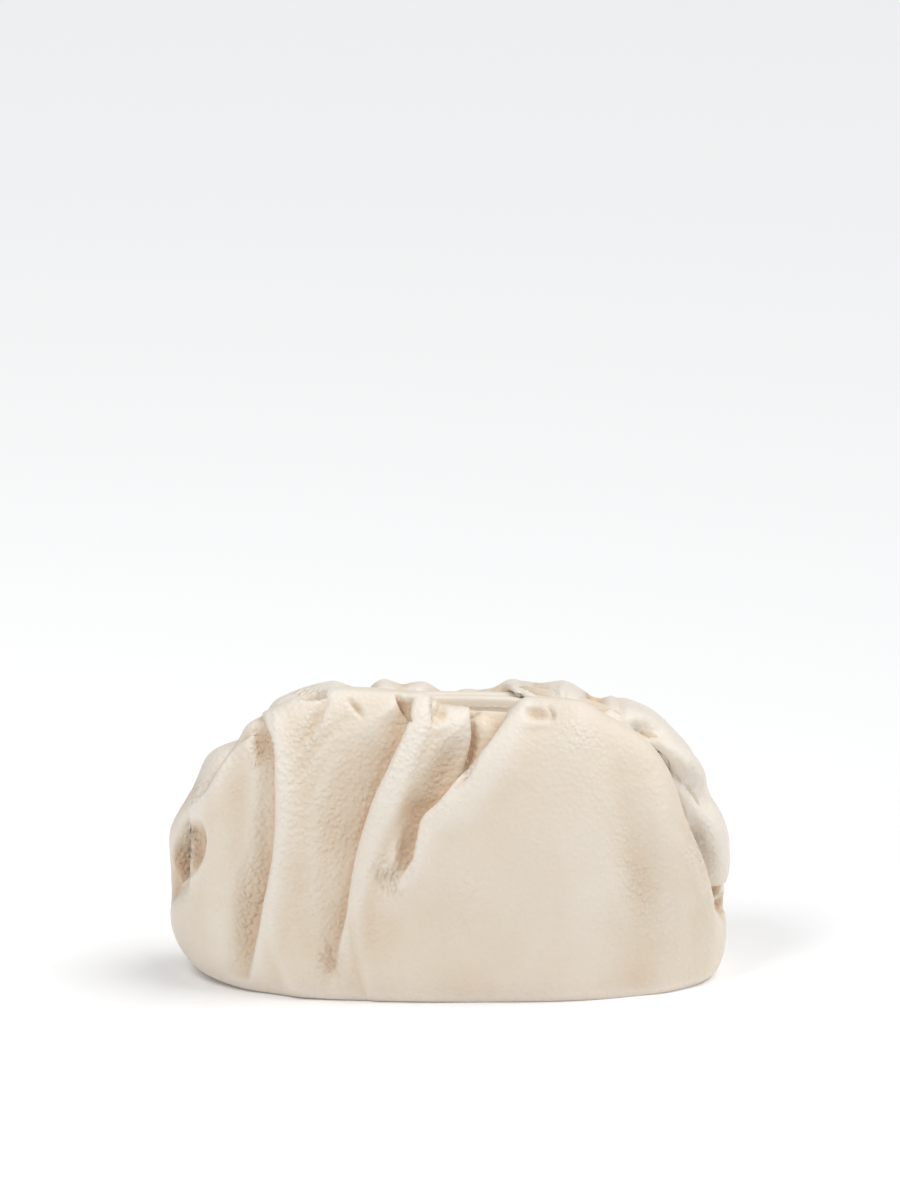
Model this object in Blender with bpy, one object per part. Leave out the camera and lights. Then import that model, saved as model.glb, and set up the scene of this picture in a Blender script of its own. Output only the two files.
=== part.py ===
"""A small gathered leather clutch, closed and standing on its flat base.

One leather body is gathered onto a hinged mouth frame. The frame is an upright arch of
two leather-covered lips that close against each other and turn on a pin at each foot.
Metres, +Z up. The front faces -Y, and the origin is the middle of the base.

The body is one sheet that runs round the mouth. A place on it has two coordinates:
  loop    0 at the left hinge, 0.5 at the middle of the front, 1 at the right hinge,
          1.5 at the middle of the back, and 2 at the left hinge again
  run     0 at the mouth seam, SHOULDER at the top of the puff, BELLY where the side
          stands upright, FLOOR where it meets the floor, and 1 on the flat base
"""

import bmesh
import bpy
import numpy as np
from mathutils import Vector

# Mouth frame
FRAME_HALF_WIDTH = 0.0965
FRAME_TOP = 0.1078
HINGE_HEIGHT_LEFT = 0.0350
HINGE_HEIGHT_RIGHT = 0.0265
FRAME_SQUARENESS_LEFT = 2.45
FRAME_SQUARENESS_RIGHT = 2.80
LIP_THICKNESS = 0.0050
LIP_HEIGHT = 0.0090
LIP_ROUNDING = 0.0022
LIP_GAP = 0.0006
LIP_END_CLEARANCE = 0.0110
LIP_COLUMNS = 34
SEAM_DROP = 0.0060
SEAT_CLEARANCE = 0.0003

# Hinge pins
PIN_RADIUS = 0.0024
PIN_LENGTH = 0.0090

# Leather body
LEATHER = 0.0018
BELLY_HALF_WIDTH = 0.1085
BELLY_HALF_DEPTH = 0.0445
BELLY_SQUARENESS = 2.30
BELLY_HEIGHT = 0.0370
BASE_HALF_WIDTH = 0.0940
BASE_HALF_DEPTH = 0.0415
BASE_SQUARENESS = 2.55
BASE_SHIFT = 0.0070
BASE_PATCH = 0.35
PUFF_RISE = 0.0100
PUFF_DEPTH = 0.0160
PUFF_END_LENGTH = 0.0180
PUFF_LEAN = 0.0160
END_SPREAD = 1.5
MOUTH_SLIT = 0.0014
LIP_KEEP_OUT = 0.0025
MOUTH_END_LENGTH = 0.0080
SHOULDER_FULLNESS = 0.16
SHOULDER_LEAST = 0.0055
SHOULDER_MOST = 0.40
BELLY_FULLNESS = 0.36
FLOOR_FULLNESS = 0.56

# Where the stretches of the run meet
SHOULDER = 0.08
BELLY = 0.52
FLOOR = 0.76

# The lines that the gathers follow, a row for each, going round the loop. belly and base
# say where the line meets those outlines, in the same terms as the loop. rise, puff, lean
# and height are shares of PUFF_RISE, PUFF_DEPTH, PUFF_LEAN and BELLY_HEIGHT.
LINE_COLUMNS = ("loop", "belly", "base", "rise", "puff", "lean", "height")
LINES = (
    (0.000, 0.000, 0.000, 0.75, 0.50, 0.00, 0.66),
    (0.030, 0.035, 0.033, 0.35, 0.50, 0.00, 0.70),
    (0.060, 0.058, 0.052, -0.15, 0.55, 0.00, 0.76),
    (0.100, 0.082, 0.070, -0.20, 0.65, 0.00, 0.84),
    (0.135, 0.108, 0.088, 1.05, 0.80, 0.30, 0.90),
    (0.165, 0.132, 0.106, 0.75, 0.80, 0.00, 0.95),
    (0.250, 0.212, 0.190, 0.70, 0.80, 0.00, 1.00),
    (0.350, 0.290, 0.285, 0.60, 0.70, 0.00, 1.00),
    (0.450, 0.355, 0.335, 0.35, 0.65, 0.00, 1.00),
    (0.520, 0.400, 0.390, 0.35, 0.55, 0.00, 1.00),
    (0.577, 0.440, 0.430, 0.10, 0.60, 0.00, 1.00),
    (0.640, 0.610, 0.600, 0.35, 0.70, 0.00, 1.00),
    (0.700, 0.780, 0.780, 0.20, 0.75, 0.00, 0.95),
    (0.760, 0.850, 0.850, 0.05, 0.75, 0.00, 0.85),
    (0.850, 0.915, 0.912, -0.20, 0.65, 0.00, 0.70),
    (0.930, 0.948, 0.946, -0.05, 0.50, 0.00, 0.55),
    (0.965, 0.966, 0.966, 0.35, 0.45, 0.00, 0.48),
    (1.000, 1.000, 1.000, 0.80, 0.45, 0.00, 0.45),
    (1.035, 1.037, 1.036, 1.25, 0.50, 0.10, 0.56),
    (1.080, 1.068, 1.064, 1.42, 0.65, 0.25, 0.70),
    (1.150, 1.100, 1.100, 1.05, 0.70, 0.80, 0.85),
    (1.230, 1.180, 1.180, 1.05, 0.80, 0.90, 1.00),
    (1.300, 1.260, 1.260, 0.60, 0.80, 0.30, 1.00),
    (1.400, 1.370, 1.370, 0.42, 0.80, 0.00, 1.00),
    (1.485, 1.475, 1.475, 0.10, 0.70, 0.00, 1.00),
    (1.550, 1.550, 1.550, 0.45, 0.80, 0.00, 1.00),
    (1.660, 1.680, 1.680, 0.74, 0.80, 0.20, 1.00),
    (1.730, 1.750, 1.750, 0.82, 0.80, 0.50, 1.00),
    (1.780, 1.800, 1.800, 0.50, 0.80, 0.70, 1.00),
    (1.840, 1.858, 1.858, 0.72, 0.80, 0.80, 0.95),
    (1.900, 1.912, 1.914, 0.98, 0.65, 0.60, 0.88),
    (1.950, 1.950, 1.952, 1.25, 0.50, 0.30, 0.78),
    (1.975, 1.972, 1.973, 1.15, 0.50, 0.10, 0.70),
)

# The folds, a row for each crest, valley or edge, going round the loop. The other columns
# are how far the leather stands out of its plain shape there, as shares of FOLD_RELIEF.
FOLD_RELIEF = 0.012
FOLD_COLUMNS = ("loop", "brow", "high", "upper", "middle", "belly", "low", "foot")
FOLD_RUNS = (SHOULDER, 0.18, 0.28, 0.38, BELLY, 0.64, FLOOR)
FOLDS = (
    (0.000, 0.00, 0.00, 0.00, 0.00, 0.00, 0.00, 0.00),
    (0.080, -0.05, -0.15, -0.15, -0.05, 0.05, 0.05, 0.00),
    (0.140, 0.10, 0.20, 0.25, 0.25, 0.20, 0.15, 0.03),
    (0.175, 0.10, 0.25, 0.30, 0.35, 0.30, 0.20, 0.05),
    (0.246, -0.15, -0.42, -0.50, -0.52, -0.50, -0.38, -0.15),
    (0.256, 0.00, -0.10, -0.02, 0.00, 0.00, 0.00, 0.00),
    (0.283, 0.18, 0.28, 0.34, 0.34, 0.34, 0.26, 0.10),
    (0.312, 0.20, 0.12, 0.15, 0.20, 0.22, 0.15, 0.05),
    (0.345, 0.30, 0.22, 0.12, 0.08, 0.02, 0.00, 0.02),
    (0.392, 0.05, -0.15, -0.22, -0.28, -0.28, -0.18, -0.04),
    (0.436, -0.55, -0.68, -0.70, -0.66, -0.58, -0.40, -0.12),
    (0.446, -0.10, -0.05, 0.00, 0.00, 0.00, 0.00, 0.00),
    (0.468, 0.15, 0.34, 0.40, 0.36, 0.32, 0.24, 0.06),
    (0.486, 0.00, 0.32, 0.30, 0.20, 0.20, 0.16, 0.04),
    (0.508, 0.30, 0.22, -0.08, -0.22, 0.08, 0.10, 0.03),
    (0.526, -0.15, -0.40, -0.52, -0.55, 0.00, 0.10, 0.03),
    (0.548, -0.60, -0.78, -0.85, -0.80, -0.05, 0.10, 0.03),
    (0.568, -0.60, -0.75, -0.85, -0.65, 0.00, 0.12, 0.03),
    (0.577, -0.20, -0.15, -0.05, 0.00, 0.10, 0.12, 0.03),
    (0.602, 0.15, 0.26, 0.36, 0.34, 0.24, 0.15, 0.05),
    (0.630, 0.15, 0.18, 0.30, 0.32, 0.30, 0.22, 0.05),
    (0.665, 0.25, 0.30, 0.36, 0.38, 0.36, 0.28, 0.08),
    (0.705, 0.10, 0.15, 0.18, 0.15, 0.08, 0.06, 0.02),
    (0.745, 0.05, 0.12, 0.20, 0.25, 0.25, 0.20, 0.05),
    (0.810, 0.00, 0.05, 0.08, 0.10, 0.10, 0.10, 0.03),
    (0.860, 0.05, 0.10, 0.15, 0.18, 0.16, 0.12, 0.03),
    (0.930, -0.05, -0.05, -0.05, 0.02, 0.06, 0.06, 0.02),
    (1.000, 0.00, 0.00, 0.00, 0.00, 0.00, 0.02, 0.00),
    (1.040, 0.06, 0.06, 0.06, 0.06, 0.05, 0.03, 0.00),
    (1.080, -0.05, -0.12, -0.15, -0.10, -0.02, 0.00, 0.00),
    (1.112, 0.12, 0.20, 0.20, 0.20, 0.15, 0.10, 0.02),
    (1.145, -0.05, -0.12, -0.12, -0.05, 0.00, 0.00, 0.00),
    (1.180, 0.20, 0.25, 0.25, 0.20, 0.20, 0.15, 0.03),
    (1.217, 0.05, -0.15, -0.25, -0.25, -0.15, -0.05, 0.00),
    (1.275, 0.25, 0.28, 0.28, 0.25, 0.20, 0.15, 0.05),
    (1.310, -0.05, -0.20, -0.25, -0.20, -0.10, 0.00, 0.00),
    (1.350, 0.22, 0.28, 0.30, 0.30, 0.25, 0.20, 0.05),
    (1.385, 0.08, -0.10, -0.20, -0.15, -0.10, 0.00, 0.00),
    (1.418, 0.20, 0.22, 0.25, 0.25, 0.20, 0.15, 0.03),
    (1.446, 0.00, -0.20, -0.26, -0.20, -0.10, 0.00, 0.00),
    (1.478, 0.05, 0.15, 0.20, 0.20, 0.15, 0.10, 0.03),
    (1.503, -0.15, -0.25, -0.25, -0.20, -0.15, -0.10, -0.02),
    (1.535, 0.25, 0.28, 0.30, 0.30, 0.25, 0.20, 0.05),
    (1.563, -0.05, -0.20, -0.26, -0.28, -0.25, -0.20, -0.05),
    (1.588, 0.15, 0.22, 0.25, 0.25, 0.25, 0.20, 0.05),
    (1.615, -0.30, -0.30, -0.28, -0.25, -0.20, -0.10, 0.00),
    (1.660, 0.15, 0.22, 0.28, 0.28, 0.28, 0.20, 0.05),
    (1.725, 0.15, 0.05, 0.00, 0.00, 0.05, 0.05, 0.00),
    (1.780, -0.15, -0.25, -0.30, -0.30, -0.25, -0.15, -0.03),
    (1.838, 0.25, 0.28, 0.28, 0.25, 0.20, 0.15, 0.05),
    (1.888, 0.00, -0.08, -0.10, -0.08, 0.00, 0.00, 0.00),
    (1.940, 0.08, 0.10, 0.10, 0.08, 0.05, 0.03, 0.00),
)

# How finely the sheet is divided
WIDEST_COLUMN = 0.018
INSIDE_EASING = 3
EASED_ROWS = 8
END_COLUMNS = (0.003, 0.010, 0.022)
RUN_ROWS = (
    0.000, 0.022, 0.042, 0.060, 0.080, 0.115, 0.160, 0.210,
    0.270, 0.340, 0.420, 0.520, 0.600, 0.680, 0.760, 1.000,
)

LEATHER_COLOUR = (0.86, 0.79, 0.69, 1.0)
METAL_COLOUR = (0.62, 0.56, 0.42, 1.0)


def length(vectors):
    """Lengths of vectors, kept as a last column."""
    return np.linalg.norm(vectors, axis=-1, keepdims=True)


def unit(vectors):
    """Vectors scaled to length one."""
    return vectors / np.maximum(length(vectors), 1e-12)


def ease(share):
    """A share from 0 to 1 that starts and stops gently."""
    share = np.clip(share, 0.0, 1.0)
    return share * share * (3.0 - 2.0 * share)


def through(knots, values, places):
    """A curve through values at rising knots that never swings past them."""
    knots = np.asarray(knots, float)
    values = np.asarray(values, float)
    steps = np.diff(knots)
    shape = (-1,) + (1,) * (values.ndim - 1)
    slopes = np.diff(values, axis=0) / steps.reshape(shape)
    before, after = slopes[:-1], slopes[1:]
    same_way = before * after > 0.0
    total = np.where(same_way, before + after, 1.0)
    inner = np.where(same_way, 2.0 * before * after / total, 0.0)
    tangents = np.concatenate([slopes[:1], inner, slopes[-1:]])
    found = np.clip(np.searchsorted(knots, places, side="right") - 1, 0, len(steps) - 1)
    width = steps[found].reshape(shape)
    share = ((places - knots[found]) / steps[found]).reshape(shape)
    low, high = values[found], values[found + 1]
    start, stop = tangents[found] * width, tangents[found + 1] * width
    return (
        low * (1.0 + 2.0 * share) * (1.0 - share) ** 2
        + start * share * (1.0 - share) ** 2
        + high * share**2 * (3.0 - 2.0 * share)
        - stop * share**2 * (1.0 - share)
    )


def round_the_loop(table, places, turning=()):
    """The rows of a table between its loop values, joined up at the left hinge.

    A column in turning also grows by 2 each time round, as the loop does."""
    rows = np.asarray(table, float)
    step = np.zeros(rows.shape[1])
    step[0] = 2.0
    for column in turning:
        step[column] = 2.0
    around = np.concatenate([rows - step, rows, rows + step])
    return through(around[:, 0], around[:, 1:], places)


def rounded_quarter(squareness, count=200):
    """A quarter of a rounded rectangle of half sizes 1 by 1, from (1, 0) to (0, 1)."""
    angle = np.linspace(0.0, np.pi / 2.0, count)
    across, up = np.cos(angle), np.sin(angle)
    size = (across**squareness + up**squareness) ** (1.0 / squareness)
    return np.stack([across / size, up / size], axis=1)


def travelled(points):
    """The length of a line of points up to each of them."""
    steps = np.linalg.norm(np.diff(points, axis=0), axis=1)
    return np.concatenate([[0.0], np.cumsum(steps)])


def at_length(points, distances):
    """Places on a line of points, by the length travelled."""
    marks = travelled(points)
    return np.stack(
        [np.interp(distances, marks, points[:, axis]) for axis in range(points.shape[1])],
        axis=-1,
    )


def frame_line():
    """The frame's centre line in X and Z, and its length up to the middle of the top."""
    left = rounded_quarter(FRAME_SQUARENESS_LEFT)
    right = rounded_quarter(FRAME_SQUARENESS_RIGHT)[::-1]
    left = left * (-FRAME_HALF_WIDTH, FRAME_TOP - HINGE_HEIGHT_LEFT)
    right = right * (FRAME_HALF_WIDTH, FRAME_TOP - HINGE_HEIGHT_RIGHT)
    line = np.concatenate([left + (0.0, HINGE_HEIGHT_LEFT), right[1:] + (0.0, HINGE_HEIGHT_RIGHT)])
    return line, travelled(line)[len(left) - 1]


FRAME_LINE, FRAME_HALF_LENGTH = frame_line()
FRAME_LENGTH = travelled(FRAME_LINE)[-1]


def frame_distance(loop):
    """How far along the frame from the left hinge a loop value lies."""
    along = np.where(loop > 1.0, 2.0 - loop, loop)
    left = along / 0.5 * FRAME_HALF_LENGTH
    right = FRAME_HALF_LENGTH + (along - 0.5) / 0.5 * (FRAME_LENGTH - FRAME_HALF_LENGTH)
    return np.where(along < 0.5, left, right)


def frame_place(distance):
    """Points on the frame's centre line, with the direction away from the bag's inside."""
    step = 0.0015
    before = at_length(FRAME_LINE, np.clip(distance - step, 0.0, FRAME_LENGTH))
    after = at_length(FRAME_LINE, np.clip(distance + step, 0.0, FRAME_LENGTH))
    here = at_length(FRAME_LINE, distance)
    tangent = unit(after - before)
    zero = np.zeros(len(distance))
    place = np.stack([here[:, 0], zero, here[:, 1]], axis=1)
    outward = np.stack([-tangent[:, 1], zero, tangent[:, 0]], axis=1)
    return place, outward


def mouth_half_width(distance):
    """Half the width of the body's mouth, which rounds off to nothing at the hinges."""
    from_hinge = np.minimum(distance, FRAME_LENGTH - distance)
    closing = np.clip(1.0 - from_hinge / MOUTH_END_LENGTH, 0.0, 1.0)
    half = LIP_GAP / 2.0 + LIP_THICKNESS + SEAT_CLEARANCE
    return half * np.sqrt(1.0 - closing**2)


def outline_place(half_width, half_depth, squareness, share):
    """Points on an outline on the floor, with their outward directions.

    The share runs like the loop, 0 at the left end and 0.5 at the middle of the front."""
    quarter = rounded_quarter(squareness)
    left = quarter * (-half_width, -half_depth)
    right = quarter[::-1] * (half_width, -half_depth)
    half = np.concatenate([left, right[1:]])
    total = travelled(half)[-1]
    share = np.mod(share, 2.0)
    along = np.where(share > 1.0, 2.0 - share, share)
    side = np.where(share > 1.0, -1.0, 1.0)
    here = at_length(half, along * total)
    step = 0.004
    before = at_length(half, np.clip(along * total - step, 0.0, total))
    after = at_length(half, np.clip(along * total + step, 0.0, total))
    tangent = unit(after - before)
    zero = np.zeros(len(along))
    place = np.stack([here[:, 0], here[:, 1] * side, zero], axis=1)
    outward = np.stack([tangent[:, 1], -tangent[:, 0] * side, zero], axis=1)
    return place, outward


def bezier(start, leave, arrive, stop, share):
    """A curve that leaves start towards one point and arrives at stop from another."""
    back = 1.0 - share
    return (
        start * back**3
        + leave * 3.0 * share * back**2
        + arrive * 3.0 * share**2 * back
        + stop * share**3
    )


def plain_sheet(loops, runs):
    """The body without its folds, as a grid of points, with the outline's directions."""
    belly, base, rise, puff, lean, height = round_the_loop(LINES, loops, (1, 2)).T
    distance = frame_distance(loops)
    from_hinge = np.minimum(distance, FRAME_LENGTH - distance)
    frame, outward = frame_place(distance)
    side = np.where(loops > 1.0, 1.0, -1.0)
    mouth = mouth_half_width(distance)
    puffed = ease(from_hinge / PUFF_END_LENGTH)
    seam_level = LIP_HEIGHT / 2.0 - SEAM_DROP
    seam = frame + outward * seam_level
    seam[:, 1] = side * mouth
    shoulder = frame + outward * (PUFF_RISE * rise)[:, None]
    shoulder[:, 1] = side * (mouth + PUFF_DEPTH * puff * puffed)
    lift = np.maximum(PUFF_RISE * rise - seam_level, 0.0) * 0.5 + 0.0004
    rising = outward * lift[:, None]
    turning = np.zeros_like(frame)
    turning[:, 1] = side * puffed
    turning[:, 2] = puffed - 1.0
    turning = unit(turning)
    spreading = (1.0 - puffed)[:, None] * END_SPREAD
    leaning = np.zeros_like(frame)
    leaning[:, 1] = -side * PUFF_LEAN * lean * puffed
    outer, sideways = outline_place(
        BELLY_HALF_WIDTH, BELLY_HALF_DEPTH, BELLY_SQUARENESS, belly
    )
    outer[:, 2] = BELLY_HEIGHT * height
    floor, floor_out = outline_place(
        BASE_HALF_WIDTH, BASE_HALF_DEPTH, BASE_SQUARENESS, base
    )
    floor[:, 0] += BASE_SHIFT
    patch = floor * BASE_PATCH
    turning = unit(turning + spreading * unit(outer - shoulder))
    up = np.array([0.0, 0.0, 1.0])
    reach = length(outer - shoulder)
    over = np.maximum(reach * SHOULDER_FULLNESS, SHOULDER_LEAST)
    over = np.minimum(over, reach * SHOULDER_MOST)
    drop = length(shoulder - seam)
    inset = length((floor - outer) * (1.0, 1.0, 0.0))
    grid = []
    for run in runs:
        if run <= SHOULDER:
            points = bezier(
                seam,
                seam + rising,
                shoulder - turning * drop * 0.35 + leaning,
                shoulder,
                run / SHOULDER,
            )
        elif run <= BELLY:
            points = bezier(
                shoulder,
                shoulder + turning * over,
                outer + up * reach * BELLY_FULLNESS,
                outer,
                (run - SHOULDER) / (BELLY - SHOULDER),
            )
        elif run <= FLOOR:
            points = bezier(
                outer,
                outer - up * outer[:, 2:] * FLOOR_FULLNESS,
                floor + floor_out * inset * FLOOR_FULLNESS,
                floor,
                (run - BELLY) / (FLOOR - BELLY),
            )
        else:
            share = (run - FLOOR) / (1.0 - FLOOR)
            points = floor + (patch - floor) * share
        grid.append(points)
    return np.stack(grid, axis=1), sideways


def relief(loops, runs):
    """How far the folds stand out at each place of a grid."""
    rows = np.asarray(FOLDS, float)
    knots = (0.0,) + FOLD_RUNS + (1.0,)
    still = np.zeros((1, len(rows)))
    down_the_bag = through(knots, np.concatenate([still, rows[:, 1:].T, still]), runs)
    table = np.concatenate([rows[:, :1], down_the_bag.T], axis=1)
    held_at_seam = ease(runs / (0.75 * SHOULDER))
    return round_the_loop(table, loops) * held_at_seam * FOLD_RELIEF


def folded_sheet(loops, runs):
    """The body's outside, folds and all."""
    plain, sideways = plain_sheet(loops, runs)
    nudge = 0.0008
    ahead, _ = plain_sheet(np.mod(loops + nudge, 2.0), runs)
    behind, _ = plain_sheet(np.mod(loops - nudge, 2.0), runs)
    lower, _ = plain_sheet(loops, np.minimum(runs + nudge, 1.0))
    upper, _ = plain_sheet(loops, np.maximum(runs - nudge, 0.0))
    facing = unit(np.cross(lower - upper, ahead - behind))
    below = (runs >= BELLY)[None, :, None]
    direction = np.where(below, sideways[:, None, :], facing)
    sheet = plain + direction * relief(loops, runs)[:, :, None]
    return clear_of_lips(sheet, loops, runs)


def clear_of_lips(sheet, loops, runs):
    """Hold the mouth side of each puff clear of the lips, and of the puff it faces."""
    distance = frame_distance(loops)
    frame, outward = frame_place(distance)
    level = np.sum((sheet - frame[:, None]) * outward[:, None], axis=2)
    corner = LIP_HEIGHT / 2.0 - LIP_ROUNDING
    past = np.clip((level - corner) / (LIP_ROUNDING + LIP_KEEP_OUT), 0.0, 1.0)
    slit = np.minimum(mouth_half_width(distance), MOUTH_SLIT / 2.0)[:, None]
    least = slit + (mouth_half_width(distance)[:, None] - slit) * np.sqrt(1.0 - past**2)
    side = np.where(loops > 1.0, 1.0, -1.0)[:, None]
    kept = side * np.maximum(side * sheet[:, :, 1], least)
    mouth_side = (runs < SHOULDER)[None, :]
    sheet[:, :, 1] = np.where(mouth_side, kept, sheet[:, :, 1])
    return sheet


def facing_out(grid):
    """Outward directions of a grid that closes on itself round the loop."""
    round_it = np.roll(grid, -1, axis=0) - np.roll(grid, 1, axis=0)
    down_it = np.gradient(grid, axis=1)
    return unit(np.cross(down_it, round_it))


def inner_sheet(outside):
    """The body's inside, a leather's thickness in, with its tight turns eased."""
    inside = outside - facing_out(outside) * LEATHER
    for _ in range(INSIDE_EASING):
        beside = (inside[:, : EASED_ROWS - 1] + inside[:, 2 : EASED_ROWS + 1]) / 2.0
        inside[:, 1:EASED_ROWS] = (inside[:, 1:EASED_ROWS] + beside) / 2.0
    edge = outside[:, -2]
    along = np.roll(edge, -1, axis=0) - np.roll(edge, 1, axis=0)
    outward = unit(np.stack([along[:, 1], -along[:, 0], 0.0 * along[:, 0]], axis=1))
    inside[:, -2] = edge - outward * LEATHER
    inside[:, -2:, 2] = LEATHER
    return inside


def loop_columns():
    """Loop values of the sheet's columns: each fold's row and some between."""
    rows = [row[0] for row in FOLDS] + [2.0]
    loops = set()
    for start, stop in zip(rows, rows[1:]):
        count = 1 + int((stop - start) / WIDEST_COLUMN)
        for step in range(count):
            loops.add(round(start + (stop - start) * step / count, 6))
    for offset in END_COLUMNS:
        loops.update((offset, round(1.0 - offset, 6), 1.0 + offset, round(2.0 - offset, 6)))
    return np.array(sorted(loops))


def add_object(name, vertices, faces, material):
    """Put one closed mesh into the scene under a name."""
    mesh = bpy.data.meshes.new(name)
    built = bmesh.new()
    corners = [built.verts.new(tuple(float(value) for value in vertex)) for vertex in vertices]
    for face in faces:
        built.faces.new([corners[index] for index in face])
    bmesh.ops.recalc_face_normals(built, faces=built.faces)
    built.to_mesh(mesh)
    built.free()
    mesh.materials.append(material)
    for polygon in mesh.polygons:
        polygon.use_smooth = True
    piece = bpy.data.objects.new(name, mesh)
    bpy.context.scene.collection.objects.link(piece)
    return piece


def add_material(name, colour, roughness, metallic):
    """One plain material."""
    material = bpy.data.materials.new(name)
    material.use_nodes = True
    shader = material.node_tree.nodes["Principled BSDF"]
    shader.inputs["Base Color"].default_value = colour
    shader.inputs["Roughness"].default_value = roughness
    shader.inputs["Metallic"].default_value = metallic
    return material


def build_body():
    """The hollow leather body with its open mouth."""
    loops = loop_columns()
    runs = np.array(RUN_ROWS)
    outside = folded_sheet(loops, runs)
    inside = inner_sheet(outside)
    columns, rows = outside.shape[:2]
    vertices = [*outside.reshape(-1, 3), *inside.reshape(-1, 3)]
    layer = columns * rows
    faces = []
    for column in range(columns):
        beside = (column + 1) % columns
        for row in range(rows - 1):
            here, there = column * rows + row, beside * rows + row
            faces.append((here, here + 1, there + 1, there))
            faces.append((layer + here, layer + there, layer + there + 1, layer + here + 1))
        faces.append((column * rows, beside * rows, layer + beside * rows, layer + column * rows))
    for start, level in ((0, 0.0), (layer, LEATHER)):
        middle = len(vertices)
        vertices.append(np.array([0.0, 0.0, level]))
        for column in range(columns):
            edge = start + column * rows + rows - 1
            beside = start + (column + 1) % columns * rows + rows - 1
            faces.append((edge, middle, beside))
    return add_object(
        "pouch_body", vertices, faces, add_material("body_leather", LEATHER_COLOUR, 0.5, 0.0)
    )


def lip_section():
    """A lip's rounded section: how far across and how far out of the frame's line."""
    half_across = LIP_THICKNESS / 2.0 - LIP_ROUNDING
    half_out = LIP_HEIGHT / 2.0 - LIP_ROUNDING
    points = []
    for corner, (across, out) in enumerate(((1, 1), (-1, 1), (-1, -1), (1, -1))):
        for turn in np.linspace(0.0, np.pi / 2.0, 3) + corner * np.pi / 2.0:
            points.append((
                across * half_across + LIP_ROUNDING * np.cos(turn),
                out * half_out + LIP_ROUNDING * np.sin(turn),
            ))
    return points


def build_lip(name, side, material):
    """One half of the mouth frame, on the front for side -1 and the back for side 1."""
    distance = np.linspace(
        LIP_END_CLEARANCE, FRAME_LENGTH - LIP_END_CLEARANCE, LIP_COLUMNS + 1
    )
    frame, outward = frame_place(distance)
    middle = side * (LIP_GAP + LIP_THICKNESS) / 2.0
    section = lip_section()
    vertices = []
    for place, out_of_line in zip(frame, outward):
        for across, out in section:
            vertices.append(place + out_of_line * out + np.array([0.0, middle + across, 0.0]))
    size = len(section)
    faces = [tuple(range(size)), tuple(LIP_COLUMNS * size + k for k in range(size))]
    for column in range(LIP_COLUMNS):
        for corner in range(size):
            beside = (corner + 1) % size
            here, there = column * size, (column + 1) * size
            faces.append((here + corner, there + corner, there + beside, here + beside))
    return add_object(name, vertices, faces, material)


def build_pin(name, distance, material):
    """One hinge pin, lying front to back below the ends of the lips."""
    frame, _ = frame_place(np.array([distance]))
    sides = 16
    vertices = []
    for end in (-PIN_LENGTH / 2.0, PIN_LENGTH / 2.0):
        for turn in np.arange(sides) * 2.0 * np.pi / sides:
            offset = (PIN_RADIUS * np.cos(turn), end, PIN_RADIUS * np.sin(turn))
            vertices.append(frame[0] + np.array(offset))
    faces = [tuple(range(sides)), tuple(range(sides, 2 * sides))]
    for corner in range(sides):
        beside = (corner + 1) % sides
        faces.append((corner, beside, sides + beside, sides + corner))
    return add_object(name, vertices, faces, material)


def build():
    """Clear the scene and build every piece, middle of the base at the origin."""
    for old in list(bpy.data.objects):
        bpy.data.objects.remove(old, do_unlink=True)
    body = build_body()
    front_leather = add_material("front_lip_leather", LEATHER_COLOUR, 0.5, 0.0)
    back_leather = add_material("back_lip_leather", LEATHER_COLOUR, 0.5, 0.0)
    pin_from_hinge = LIP_END_CLEARANCE - SEAT_CLEARANCE - PIN_RADIUS
    left_metal = add_material("left_pin_metal", METAL_COLOUR, 0.35, 1.0)
    right_metal = add_material("right_pin_metal", METAL_COLOUR, 0.35, 1.0)
    pieces = [
        body,
        build_lip("frame_front", -1, front_leather),
        build_lip("frame_back", 1, back_leather),
        build_pin("hinge_left", pin_from_hinge, left_metal),
        build_pin("hinge_right", FRAME_LENGTH - pin_from_hinge, right_metal),
    ]
    corners = np.array([vertex.co[:] for piece in pieces for vertex in piece.data.vertices])
    middle = (corners.min(axis=0) + corners.max(axis=0)) / 2.0
    middle[2] = corners[:, 2].min()
    for piece in pieces:
        for vertex in piece.data.vertices:
            vertex.co -= Vector(middle)


build()
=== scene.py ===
# %% [markdown]
# A gathered leather clutch, seen from the front and a little above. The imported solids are
# the fixed frame of this scene: they give every piece its size and its place. This script
# dresses them. The body becomes a dense leather sheet with real folds, the two lips of the
# mouth get rolled edges and stitches, and every surface gets a procedural finish.

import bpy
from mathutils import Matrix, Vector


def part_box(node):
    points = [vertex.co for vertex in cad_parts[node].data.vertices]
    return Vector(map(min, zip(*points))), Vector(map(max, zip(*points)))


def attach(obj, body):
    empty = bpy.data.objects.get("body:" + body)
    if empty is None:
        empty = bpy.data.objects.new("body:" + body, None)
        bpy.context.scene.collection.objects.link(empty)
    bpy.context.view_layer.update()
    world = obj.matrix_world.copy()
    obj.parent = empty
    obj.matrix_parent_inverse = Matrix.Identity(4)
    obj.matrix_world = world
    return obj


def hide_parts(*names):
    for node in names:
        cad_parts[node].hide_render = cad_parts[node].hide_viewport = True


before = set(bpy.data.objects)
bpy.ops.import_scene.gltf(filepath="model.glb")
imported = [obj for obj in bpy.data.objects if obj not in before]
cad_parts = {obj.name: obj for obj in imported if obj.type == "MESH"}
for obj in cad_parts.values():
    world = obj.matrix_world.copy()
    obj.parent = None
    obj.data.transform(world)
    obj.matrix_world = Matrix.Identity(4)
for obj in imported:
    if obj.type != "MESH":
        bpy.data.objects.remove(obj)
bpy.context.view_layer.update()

# %% [markdown]
# The sheet is worked out with arrays of numbers, one row for each line of the gathers, so
# numpy does the sums and Blender only receives the finished points. Lengths are in metres.

# %% Tools
import math

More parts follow.
